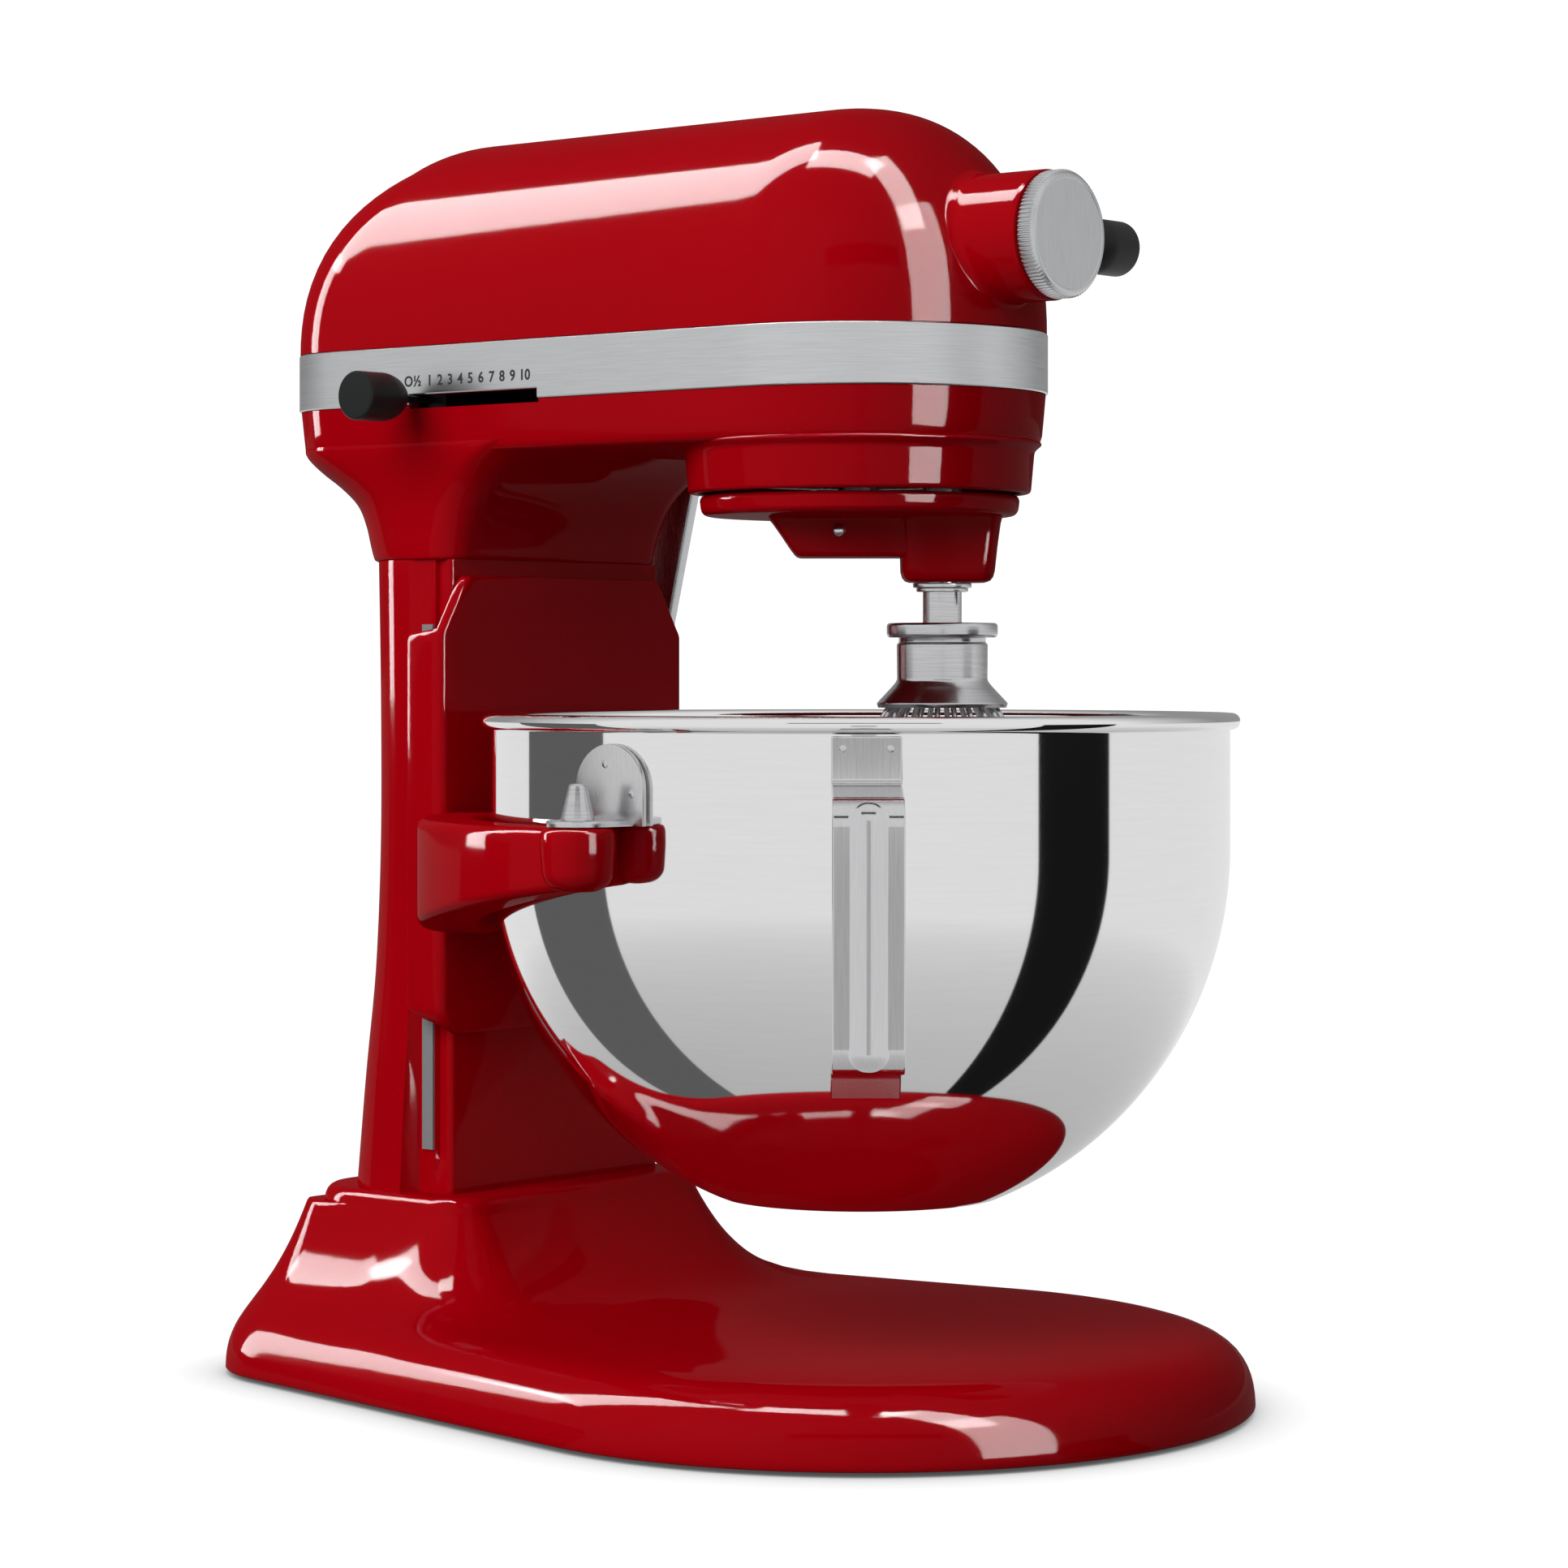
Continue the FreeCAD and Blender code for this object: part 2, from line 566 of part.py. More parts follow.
def make_lay_pinion():
    return bevel_pinion(False).cut(cyl(5.0, (0, 20.0, HUB_Z), (0, 40.0, HUB_Z)))


def spur_along_y(teeth, low_y, high_y, z, phase_deg, bore):
    gear = spur(teeth, SPUR_MODULE, 0.0, high_y - low_y, phase_deg)
    gear.rotate(Vector(), X_AXIS, -90)
    gear.translate(Vector(0, low_y, z))
    return gear.cut(cyl(bore, (0, low_y - 1, z), (0, high_y + 1, z)))


def make_lay_wheel():
    return spur_along_y(LAY_WHEEL_TEETH, 37.0, 44.0, HUB_Z, 90 + 180 / LAY_WHEEL_TEETH, 5.0)


def make_motor_pinion():
    return spur_along_y(MOTOR_PINION_TEETH, 36.5, 44.5, MOTOR_Z, -90, 3.0)


# ---------------------------------------------------------------- motor


def make_motor_shaft():
    return cyl(3.0, (0, 35.5, MOTOR_Z), (0, 52.0, MOTOR_Z)).fuse(
        cyl(4.0, (0, 52.0, MOTOR_Z), (0, 171.0, MOTOR_Z)))


def make_armature():
    """Laminated rotor with skewed slots reduced to straight ones."""
    core = tube(20.5, 4.0, (0, 76.0, MOTOR_Z), (0, 126.0, MOTOR_Z))
    for i in range(12):
        a = math.radians(30 * i)
        slot = cyl(1.6, (18.6 * math.cos(a), 75.0, MOTOR_Z + 18.6 * math.sin(a)),
                   (18.6 * math.cos(a), 127.0, MOTOR_Z + 18.6 * math.sin(a)))
        core = core.cut(slot)
    return core


def make_commutator():
    return tube(11.0, 4.0, (0, 131.0, MOTOR_Z), (0, 144.0, MOTOR_Z))


def make_stator():
    """Field ring round the armature."""
    return tube(35.0, 21.5, (0, 78.0, MOTOR_Z), (0, 124.0, MOTOR_Z))


def motor_bracket(low_y, high_y, towards_stator):
    """End bell: a disc with a bearing seat, joined to the stator by two posts."""
    bell = tube(33.0, 8.0, (0, low_y, MOTOR_Z), (0, high_y, MOTOR_Z))
    start, end = (high_y, 78.0) if towards_stator > 0 else (124.0, low_y)
    for side in (-1, 1):
        bell = bell.fuse(cyl(4.0, (28.5 * side, start, MOTOR_Z), (28.5 * side, end, MOTOR_Z)))
    return bell


def motor_bearing(low_y, high_y):
    return tube(8.0, 4.0 + RUNNING, (0, low_y, MOTOR_Z), (0, high_y, MOTOR_Z))


def make_motor_brushes():
    """Two carbon brushes in brass boxes reduced to one block each, either side of the commutator."""
    half = box((11.35, 24.0), (134.0, 141.0), (MOTOR_Z - 3.0, MOTOR_Z + 3.0))
    return both_sides(half)


def make_motor_fan():
    """Cooling fan: hub, disc and eight radial blades."""
    fan = tube(8.0, 4.0, (0, 150.0, MOTOR_Z), (0, 159.0, MOTOR_Z))
    fan = fan.fuse(tube(23.0, 8.0, (0, 157.5, MOTOR_Z), (0, 159.0, MOTOR_Z)))
    for i in range(8):
        blade = box((7.5, 22.5), (151.0, 158.0), (MOTOR_Z - 0.7, MOTOR_Z + 0.7))
        blade.rotate(Vector(0, 0, MOTOR_Z), Y_AXIS, 45 * i)
        fan = fan.fuse(blade)
    return fan


def make_gear_bracket():
    """Upright plate that carries the layshaft and lets the motor shaft through."""
    plate = box((-26.0, 26.0), (47.0, 53.0), (HEAD_FLOOR_Z + 4.0, HUB_Z + 14.0))
    plate = plate.fuse(box((-26.0, 26.0), (53.0, 64.0), (HEAD_FLOOR_Z + 4.0, HEAD_FLOOR_Z + 7.0)))
    plate = plate.cut(cyl(5.0 + RUNNING, (0, 46, HUB_Z), (0, 54, HUB_Z)))
    return plate.cut(cyl(6.5, (0, 46, MOTOR_Z), (0, 54, MOTOR_Z)))


def make_motor_cradle():
    """Saddle that holds the field ring on the floor of the head."""
    block = box((-26.0, 26.0), (88.0, 114.0), (HEAD_FLOOR_Z + 4.0, MOTOR_Z - 18.0))
    return block.cut(cyl(35.0, (0, 80, MOTOR_Z), (0, 120, MOTOR_Z)))


def make_control_board():
    """Speed control board with its capacitor and heat sink, upright at the rear of the head."""
    board = box((-32.0, 32.0), (178.0, 179.6), (326.0, 386.0))
    board = board.fuse(box((-26.0, -6.0), (179.6, 190.0), (336.0, 370.0)))
    return board.fuse(cyl(7.0, (14.0, 179.6, 350.0), (14.0, 192.0, 350.0)))


# ---------------------------------------------------------------- planetary and whip


def turned(shape):
    """Swing a shape laid out along +X to the planetary's rest angle."""
    shape.rotate(Vector(), Z_AXIS, PLANET_ANGLE)
    return shape


def make_planetary():
    """Cast carrier: dish, slanted arm and the boss that holds the beater shaft."""
    dish = lathe([(0, DISH_TOP_Z), (DISH_R, DISH_TOP_Z), (DISH_R, DISH_BOTTOM_Z + 3.0),
                  (DISH_R - 3.2, DISH_BOTTOM_Z), (0, DISH_BOTTOM_Z)])
    hub = cyl(13.0, (0, 0, DISH_TOP_Z), (0, 0, HEAD_FLOOR_Z - 4.6))
    arm = prism([
        (-29.5, -14.0, DISH_BOTTOM_Z), (-19.4, -14.0, ARM_BOTTOM_Z), (27.0, -14.0, ARM_BOTTOM_Z),
        (27.0, -14.0, DISH_BOTTOM_Z),
    ], Vector(0, 28.0, 0))
    boss = Part.makeCone(18.2, 15.2, DISH_BOTTOM_Z - SPINDLE_BOSS_Z, Vector(PLANET_OFFSET, 0, DISH_BOTTOM_Z),
                         Vector(0, 0, -1))
    body = dish.fuse(hub).fuse(arm).fuse(boss)
    body = body.cut(cyl(CENTRE_SHAFT_R, (0, 0, DISH_BOTTOM_Z - 8.0), (0, 0, 320.0)))
    body = body.cut(cyl(9.0, (PLANET_OFFSET, 0, 260.0), (PLANET_OFFSET, 0, 300.0)))
    body = body.cut(cyl(2.0, PIN_ENDS[0], PIN_ENDS[1]))
    return turned(body)


def make_planetary_pin():
    """Pin with a domed end that locks the carrier to the centre shaft."""
    x, y, z = PIN_ENDS[1]
    pin = cyl(2.0, (x, -14.3, z), (x, y, z)).fuse(Part.makeSphere(2.0, Vector(x, -14.3, z)))
    return turned(pin)


def make_centre_shaft():
    shaft = cyl(CENTRE_SHAFT_R, (0, 0, DISH_BOTTOM_Z - 8.0), (0, 0, 364.0))
    return shaft.cut(turned(cyl(2.05, (-6.9, -16.0, 281.3), (-6.9, -2.9, 281.3))))


def make_centre_bushing():
    """Bronze bushing in the floor of the head."""
    return tube(10.0, CENTRE_SHAFT_R + RUNNING, (0, 0, HEAD_FLOOR_Z - 1.5), (0, 0, 326.0))


def make_beater_bushing():
    x, y = planet_centre()
    return tube(9.0, BEATER_SHAFT_R + RUNNING, (x, y, SPINDLE_BOSS_Z + 0.4), (x, y, DISH_TOP_Z))


def make_beater_shaft():
    """Steel shaft with its pinion above and the cross pin for the whip below."""
    x, y = planet_centre()
    shaft = cyl(BEATER_SHAFT_R, (x, y, 232.0), (x, y, 307.5))
    return shaft.cut(cyl(WHIP_PIN_R, (x - 12, y, WHIP_PIN_Z), (x + 12, y, WHIP_PIN_Z)))


def make_beater_pin():
    x, y = planet_centre()
    return cyl(WHIP_PIN_R, (x - 10.5, y, WHIP_PIN_Z), (x + 10.5, y, WHIP_PIN_Z))


def make_beater_washers():
    """Spring retainer and washer under the boss."""
    x, y = planet_centre()
    return [tube(9.5, BEATER_SHAFT_R, (x, y, 263.2), (x, y, 264.7)),
            tube(8.4, BEATER_SHAFT_R, (x, y, 261.9), (x, y, 263.2))]


def make_whip_hub():
    """Turned hub of the wire whip: flange, waist and flared skirt, bored for the shaft and its pin."""
    x, y = planet_centre()
    hub = lathe([
        (6.3, 251.9), (17.9, 251.9), (17.9, 247.2), (14.0, 247.2), (14.0, 245.2), (14.6, 245.2),
        (14.6, 233.0), (15.6, 232.2), (21.2, 225.6), (20.4, 224.4), (15.0, 227.6), (0, 227.6),
        (0, 231.8), (6.3, 231.8),
    ], (x, y, 0))
    return hub.cut(cyl(WHIP_PIN_R, (x - 10.5, y, WHIP_PIN_Z), (x + 10.5, y, WHIP_PIN_Z)))


def make_whip_wires():
    """Eleven wire loops, each in its own plane and nested one wire above the last at the bottom."""
    x, y = planet_centre()
    top_r = WIRE_TOP_R
    top_z = WIRE_TOP_Z
    loops = []
    for i in range(WIRE_LOOPS):
        belly_r = WIRE_BELLY_R - 1.0 * i
        belly_z = WIRE_BELLY_Z + 1.1 * i
        rise = top_z - belly_z
        run = belly_r - top_r
        bend = (rise ** 2 + run ** 2) / (2 * run)
        half_angle = math.asin(rise / bend) / 2
        mid = (belly_r - bend + bend * math.cos(half_angle), belly_z + bend * math.sin(half_angle))
        k = belly_r * math.sqrt(0.5)
        path = Part.Wire([
            arc(Vector(top_r, 0, top_z), Vector(mid[0], 0, mid[1]), Vector(belly_r, 0, belly_z)),
            arc(Vector(belly_r, 0, belly_z), Vector(k, 0, belly_z - k), Vector(0, 0, belly_z - belly_r)),
            arc(Vector(0, 0, belly_z - belly_r), Vector(-k, 0, belly_z - k), Vector(-belly_r, 0, belly_z)),
            arc(Vector(-belly_r, 0, belly_z), Vector(-mid[0], 0, mid[1]), Vector(-top_r, 0, top_z)),
        ])
        start = path.OrderedEdges[0]
        tangent = start.tangentAt(start.FirstParameter)
        section = Part.Wire(Part.makeCircle(WIRE_R, Vector(top_r, 0, top_z), tangent))
        loop = path.makePipeShell([section], True, False)
        loop.rotate(Vector(), Z_AXIS, 180.0 * i / WIRE_LOOPS)
        loop.translate(Vector(x, y, 0))
        loops.append(loop)
    return loops


# ---------------------------------------------------------------- attachment hub


def make_hub_shaft():
    """Shaft behind the attachment socket, with a square recess for the attachment's drive."""
    shaft = cyl(9.0, (0, -59.0, HUB_Z), (0, -37.0, HUB_Z))
    shaft = shaft.fuse(cyl(6.0, (0, -37.0, HUB_Z), (0, -23.5, HUB_Z)))
    return shaft.cut(box((-4.8, 4.8), (-60.0, -45.0), (HUB_Z - 4.8, HUB_Z + 4.8)))


def make_hub_pinion():
    return bevel_pinion(True).cut(cyl(6.0, (0, -40.0, HUB_Z), (0, -20.0, HUB_Z)))


def make_hub_bushing():
    return tube(11.5, 9.0 + RUNNING, (0, -58.0, HUB_Z), (0, -41.0, HUB_Z))


def make_hub_cap():
    """Knurled aluminium cap, with a sleeve that plugs into the attachment socket."""
    rim_r = 19.6
    teeth = 90
    points = []
    for i in range(teeth):
        for r, share in ((rim_r, 0.0), (rim_r + 0.45, 0.5)):
            a = 2 * math.pi * (i + share) / teeth
            points.append(Vector(r * math.cos(a), r * math.sin(a), 0))
    knurl = Part.Face(Part.makePolygon(points + points[:1])).extrude(Vector(0, 0, 5.6))
    knurl.rotate(Vector(), X_AXIS, 90)
    knurl.translate(Vector(0, HUB_FRONT_Y - 0.3, HUB_Z))
    face = lathe([(0, 0), (rim_r - 0.2, 0), (rim_r - 0.9, 0.6), (0, 0.6)], (0, HUB_FRONT_Y - 5.9, HUB_Z),
                 Vector(0, -1, 0))
    sleeve = tube(13.6, 11.6, (0, HUB_FRONT_Y - 0.3, HUB_Z), (0, HUB_FRONT_Y + 9.0, HUB_Z))
    return knurl.fuse(face).fuse(sleeve)


def knob_outline():
    """Half outline of the black knobs: a short barrel with a domed edge and a tapered neck."""
    return [(0, 0), (7.2, 0), (8.1, 0.9), (8.1, 14.0), (7.0, 17.5), (4.6, 20.6), (0, 20.6)]


def make_attachment_screw():
    """Threaded stud of the clamping knob, drawn at its thread's mean diameter."""
    return cyl(2.8, (14.5, -66.0, HUB_Z), (36.0, -66.0, HUB_Z))


def make_attachment_knob():
    scale = 8.9 / 8.1
    outline = [(r * scale, h) for r, h in knob_outline()]
    knob = lathe(outline, (51.0, -66.0, HUB_Z), Vector(-1, 0, 0))
    return knob.cut(cyl(2.8, (20.0, -66.0, HUB_Z), (36.0, -66.0, HUB_Z)))


# ---------------------------------------------------------------- speed lever


def make_speed_arm():
    """Flat arm through the slot, with the plate inside that works the speed control."""
    arm = box((-76.0, -50.0), (SPEED_ARM_Y - 2.4, SPEED_ARM_Y + 2.4), (SLOT_Z[0] + 0.5, SLOT_Z[1] - 0.7))
    return arm.fuse(box((-53.5, -50.0), (SPEED_ARM_Y - 9.0, SPEED_ARM_Y + 9.0), (322.0, 333.0)))


def make_speed_knob():
    mid_z = (SLOT_Z[0] + SLOT_Z[1]) / 2
    knob = lathe(knob_outline(), (-88.7, SPEED_ARM_Y, mid_z), X_AXIS)
    arm_z = (SLOT_Z[0] + 0.5, SLOT_Z[1] - 0.7)
    return knob.cut(box((-76.0, -60.0), (SPEED_ARM_Y - 2.4, SPEED_ARM_Y + 2.4), arm_z))


# ---------------------------------------------------------------- bowl


def bowl_outer_r(z):
    """Outer radius of the bowl's wall below its straight part."""
    share = max(0.0, (BOWL_BELLY_Z - z) / BOWL_DROP)
    return BOWL_R * math.sqrt(1 - share ** 2)


def make_bowl():
    """Drawn steel bowl: straight wall, hemispherical belly, flat foot and a rolled rim."""
    def belly(inset):
        low = BOWL_BOTTOM_Z + inset
        share = (BOWL_BELLY_Z - low) / BOWL_DROP
        foot_r = (BOWL_R - inset) * math.sqrt(1 - share ** 2)
        mid_z = BOWL_BELLY_Z - (BOWL_BELLY_Z - low) * 0.55
        mid_r = (BOWL_R - inset) * math.sqrt(1 - ((BOWL_BELLY_Z - mid_z) / BOWL_DROP) ** 2)
        return (foot_r, low), (mid_r, mid_z)

    (out_r, out_z), out_mid = belly(0.0)
    (in_r, in_z), in_mid = belly(BOWL_SHEET)

    def at(r, z):
        return Vector(r, 0, z)

    inner = BOWL_R - BOWL_SHEET
    edges = [
        line(at(0, out_z), at(out_r, out_z)),
        arc(at(out_r, out_z), at(*out_mid), at(BOWL_R, BOWL_BELLY_Z)),
        line(at(BOWL_R, BOWL_BELLY_Z), at(BOWL_R, RIM_Z)),
        line(at(BOWL_R, RIM_Z), at(inner, RIM_Z)),
        line(at(inner, RIM_Z), at(inner, BOWL_BELLY_Z)),
        arc(at(inner, BOWL_BELLY_Z), at(*in_mid), at(in_r, in_z)),
        line(at(in_r, in_z), at(0, in_z)),
        line(at(0, in_z), at(0, out_z)),
    ]
    wall = Part.Face(Part.Wire(edges)).revolve(Vector(), Z_AXIS, 360)
    rim = Part.makeTorus(BOWL_R + 0.6, RIM_BEAD_R, Vector(0, 0, RIM_Z))
    return wall.fuse(rim)


def make_bowl_handle():
    """Steel strap bent into a grip, with a pressed rib down its front."""
    half_w = 10.5
    sheet = 2.0
    grip_r = 153.0
    foot_z = 111.0
    wall = BOWL_R + 0.1
    lower = bowl_outer_r(foot_z) + 1.5
    knee = bowl_outer_r(120.0) + 1.9
    outer = [
        (wall, 217.0), (wall + sheet, 217.0), (wall + sheet, 204.0), (wall + sheet + 4, 201.0),
        (grip_r - 7, 199.0),
        (grip_r - 2, 197.0), (grip_r, 192.0), (grip_r, 128.0), (grip_r - 2, 123.0), (grip_r - 7, 121.0),
        (knee + sheet + 5, 119.5), (lower + sheet, foot_z), (lower, foot_z),
    ]
    inner = [
        (knee, 121.5), (grip_r - 7, 123.2), (grip_r - 4, 124.4), (grip_r - sheet, 128.5),
        (grip_r - sheet, 191.5), (grip_r - 4, 195.4), (grip_r - 7, 196.9), (wall + 4, 199.0), (wall, 203.0),
    ]
    strap = prism([(r, -half_w, z) for r, z in outer + inner], Vector(0, 2 * half_w, 0))
    rib = box((grip_r, grip_r + 2.2), (-4.3, 4.3), (126.5, 193.5))
    rib = rib.fuse(cyl(4.3, (grip_r, 0, 126.5), (grip_r + 2.2, 0, 126.5)))
    rib = rib.fuse(cyl(4.3, (grip_r, 0, 193.5), (grip_r + 2.2, 0, 193.5)))
    handle = strap.fuse(rib)
    handle.rotate(Vector(), Z_AXIS, -90 - 50.5)
    return handle


def bowl_bracket():
    """Angle plate on the +X side of the bowl: an ear on the wall and a tab over the locating pin."""
    low, high = TAB_Z
    ear_x = BOWL_R + 0.1
    half_w = 13.6
    ear = box((ear_x, ear_x + 2.0), (-half_w, half_w), (low, 201.0))
    ear = ear.fuse(cyl(half_w, (ear_x, 0, 201.0), (ear_x + 2.0, 0, 201.0)))
    tab = box((ear_x, PIN_X), (-9.5, 9.5), TAB_Z).fuse(cyl(9.5, (PIN_X, 0, low), (PIN_X, 0, high)))
    tab = tab.cut(cyl(5.6, (PIN_X, 0, low - 1), (PIN_X, 0, high + 1)))
    ear = ear.cut(box((0, 200), (-20, 20), (150, low)))
    return ear.fuse(tab)


def make_latch_pin():
    """Headed stud on the rear of the bowl, caught by the spring latch."""
    stud = cyl(3.0, (0, BOWL_R + 0.05, 200.0), (0, 127.2, 200.0))
    return stud.fuse(cyl(4.6, (0, 125.6, 200.0), (0, 127.2, 200.0)))


# ---------------------------------------------------------------- bowl support and lift


def support_plate():
    """Front plate of the support with chamfered top corners, and flanges round the column's sides."""
    back = COLUMN_FRONT_Y - 0.4
    depth = Vector(0, back - SUPPORT_FRONT_Y, 0)
    w = SUPPORT_HALF_W
    y = SUPPORT_FRONT_Y
    plate = prism([(-49, y, 268.2), (-w, y, 250.0), (-w, y, 122.0), (-w + 8, y, 115.7), (w - 8, y, 115.7),
                   (w, y, 122.0), (w, y, 250.0), (49, y, 268.2)], depth)
    flange = box((SUPPORT_FLANGE_IN, w), (SUPPORT_FRONT_Y + 1.0, 144.4), (122.0, 249.0))
    return plate, flange


def support_lug():
    """Arm through the column's window, with a riser and a fork for the crank's roller."""
    x = (-LUG_HALF_W, LUG_HALF_W)
    fork_mid = crank_point()[1]
    half = ROLLER_R + ROLLER_PLAY
    back = COLUMN_FRONT_Y - 0.9
    lug = box(x, (back, 149.0), LUG_Z)
    lug = lug.fuse(box(x, (138.0, 149.0), (LUG_Z[0], fork_mid + half + 2.8)))
    lug = lug.fuse(box(x, (148.0, 182.2), (fork_mid - half - 2.8, fork_mid + half + 2.8)))
    return lug.cut(box((-10, 10), (157.0, 190.0), (fork_mid - half, fork_mid + half)))


def support_arm():
    """Right-hand arm: a quarter ring about the bowl, flat outside its pin, shallower towards the pad."""
    low, high = ARM_ROOT_Z - 1.0, PAD_TOP_Z
    arm = tube(ARM_OUT_R, ARM_IN_R, (0, 0, low), (0, 0, high))
    arm = arm.common(box((SUPPORT_HALF_W - 14.0, PIN_X + 4.0), (0, SUPPORT_FRONT_Y + 1.0), (low, high)))
    under = prism([
        (0, 0, low - 1.0), (0, 0, PAD_BOTTOM_Z), (0, SUPPORT_FRONT_Y + 12.0, ARM_ROOT_Z),
        (0, SUPPORT_FRONT_Y + 12.0, low - 1.0),
    ], Vector(ARM_OUT_R, 0, 0))
    return arm.cut(under).fuse(cyl(PAD_R, (PIN_X, 0, PAD_BOTTOM_Z), (PIN_X, 0, PAD_TOP_Z)))


def make_bowl_support():
    """Cast yoke: plate on the column, two arms round the bowl with a pad at each end."""
    body, flange = support_plate()
    for part in both_sides(flange) + both_sides(support_arm()):
        body = body.fuse(part)
    body = body.cut(cyl(ARM_IN_R, (0, 0, ARM_ROOT_Z - 9.0), (0, 0, PAD_TOP_Z + 10.0)))
    for part in both_sides(cyl(3.5, (PIN_X, 0, 175.0), (PIN_X, 0, PAD_TOP_Z + 1.0))):
        body = body.cut(part)
    return body.fuse(support_lug())


def locating_pin():
    """Cone-topped pin screwed into the pad of the support."""
    return lathe([
        (0, 175.0), (3.5, 175.0), (3.5, PAD_TOP_Z), (5.1, PAD_TOP_Z), (5.1, 192.2), (2.6, PIN_TOP_Z),
        (0, PIN_TOP_Z),
    ], (PIN_X, 0, 0))


def make_bowl_latch():
    """Spring clip on the support, a fork open at the top that grips the bowl's stud."""
    fork = box((-8.0, 8.0), (123.0, 124.2), (184.0, 210.0))
    fork = fork.cut(box((-3.35, 3.35), (122.0, 125.0), (200.0, 211.0)))
    fork = fork.cut(cyl(3.35, (0, 122.0, 200.0), (0, 125.0, 200.0)))
    return fork.fuse(box((-8.0, 8.0), (124.2, SUPPORT_FRONT_Y), (184.0, 187.0)))


def make_lift_shaft():
    return cyl(LIFT_SHAFT_R, (CRANK_X[0], LIFT_Y, LIFT_Z), (LEVER_X[1] + 0.6, LIFT_Y, LIFT_Z))


def make_lift_bushing():
    """Long bronze bushing in the column's side for the cantilevered lift shaft."""
    return tube(6.5, LIFT_SHAFT_R + RUNNING, (18.0, LIFT_Y, LIFT_Z), (52.6, LIFT_Y, LIFT_Z))


def crank_point():
    a = math.radians(CRANK_REST)
    return LIFT_Y + CRANK_R * math.cos(a), LIFT_Z + CRANK_R * math.sin(a)


def make_crank():
    """Crank arm on the inner end of the lift shaft, behind it and beside the fork, with its stud."""
    y, z = crank_point()
    low, high = CRANK_X
    link = box((low, high), (0, CRANK_R), (-4.5, 4.5))
    link.rotate(Vector(), X_AXIS, CRANK_REST)
    link.translate(Vector(0, LIFT_Y, LIFT_Z))
    arm = cyl(9.0, (low, LIFT_Y, LIFT_Z), (high, LIFT_Y, LIFT_Z)).fuse(link)
    arm = arm.fuse(cyl(4.5, (low, y, z), (high, y, z))).fuse(cyl(2.0, (-7.5, y, z), (low, y, z)))
    return arm.cut(cyl(LIFT_SHAFT_R, (low - 1, LIFT_Y, LIFT_Z), (high + 1, LIFT_Y, LIFT_Z)))


def make_crank_roller():
    y, z = crank_point()
    return tube(ROLLER_R, 2.0, (-7.0, y, z), (7.0, y, z))


def lever_end():
    a = math.radians(LEVER_LEAN)
    return LIFT_Y - LEVER_LENGTH * math.sin(a), LIFT_Z + LEVER_LENGTH * math.cos(a)


def make_lift_lever():
    """Flat steel lever with rounded ends, drilled for the shaft and the knob's stud."""
    y, z = lever_end()
    low, high = LEVER_X
    bar = box((low, high), (-7.0, 7.0), (0, LEVER_LENGTH))
    bar.rotate(Vector(), X_AXIS, LEVER_LEAN)
    bar.translate(Vector(0, LIFT_Y, LIFT_Z))
    bar = bar.fuse(cyl(9.0, (low, LIFT_Y, LIFT_Z), (high, LIFT_Y, LIFT_Z)))
    bar = bar.fuse(cyl(7.0, (low, y, z), (high, y, z)))
    bar = bar.cut(cyl(LIFT_SHAFT_R, (low - 1, LIFT_Y, LIFT_Z), (high + 1, LIFT_Y, LIFT_Z)))
    return bar.fuse(cyl(3.0, (high, y, z), (high + 12.0, y, z)))


def make_lift_knob():
    y, z = lever_end()
    knob = lathe(knob_outline(), (88.3, y, z), Vector(-1, 0, 0))
    return knob.cut(cyl(3.0, (66.0, y, z), (79.5, y, z)))


# ---------------------------------------------------------------- export


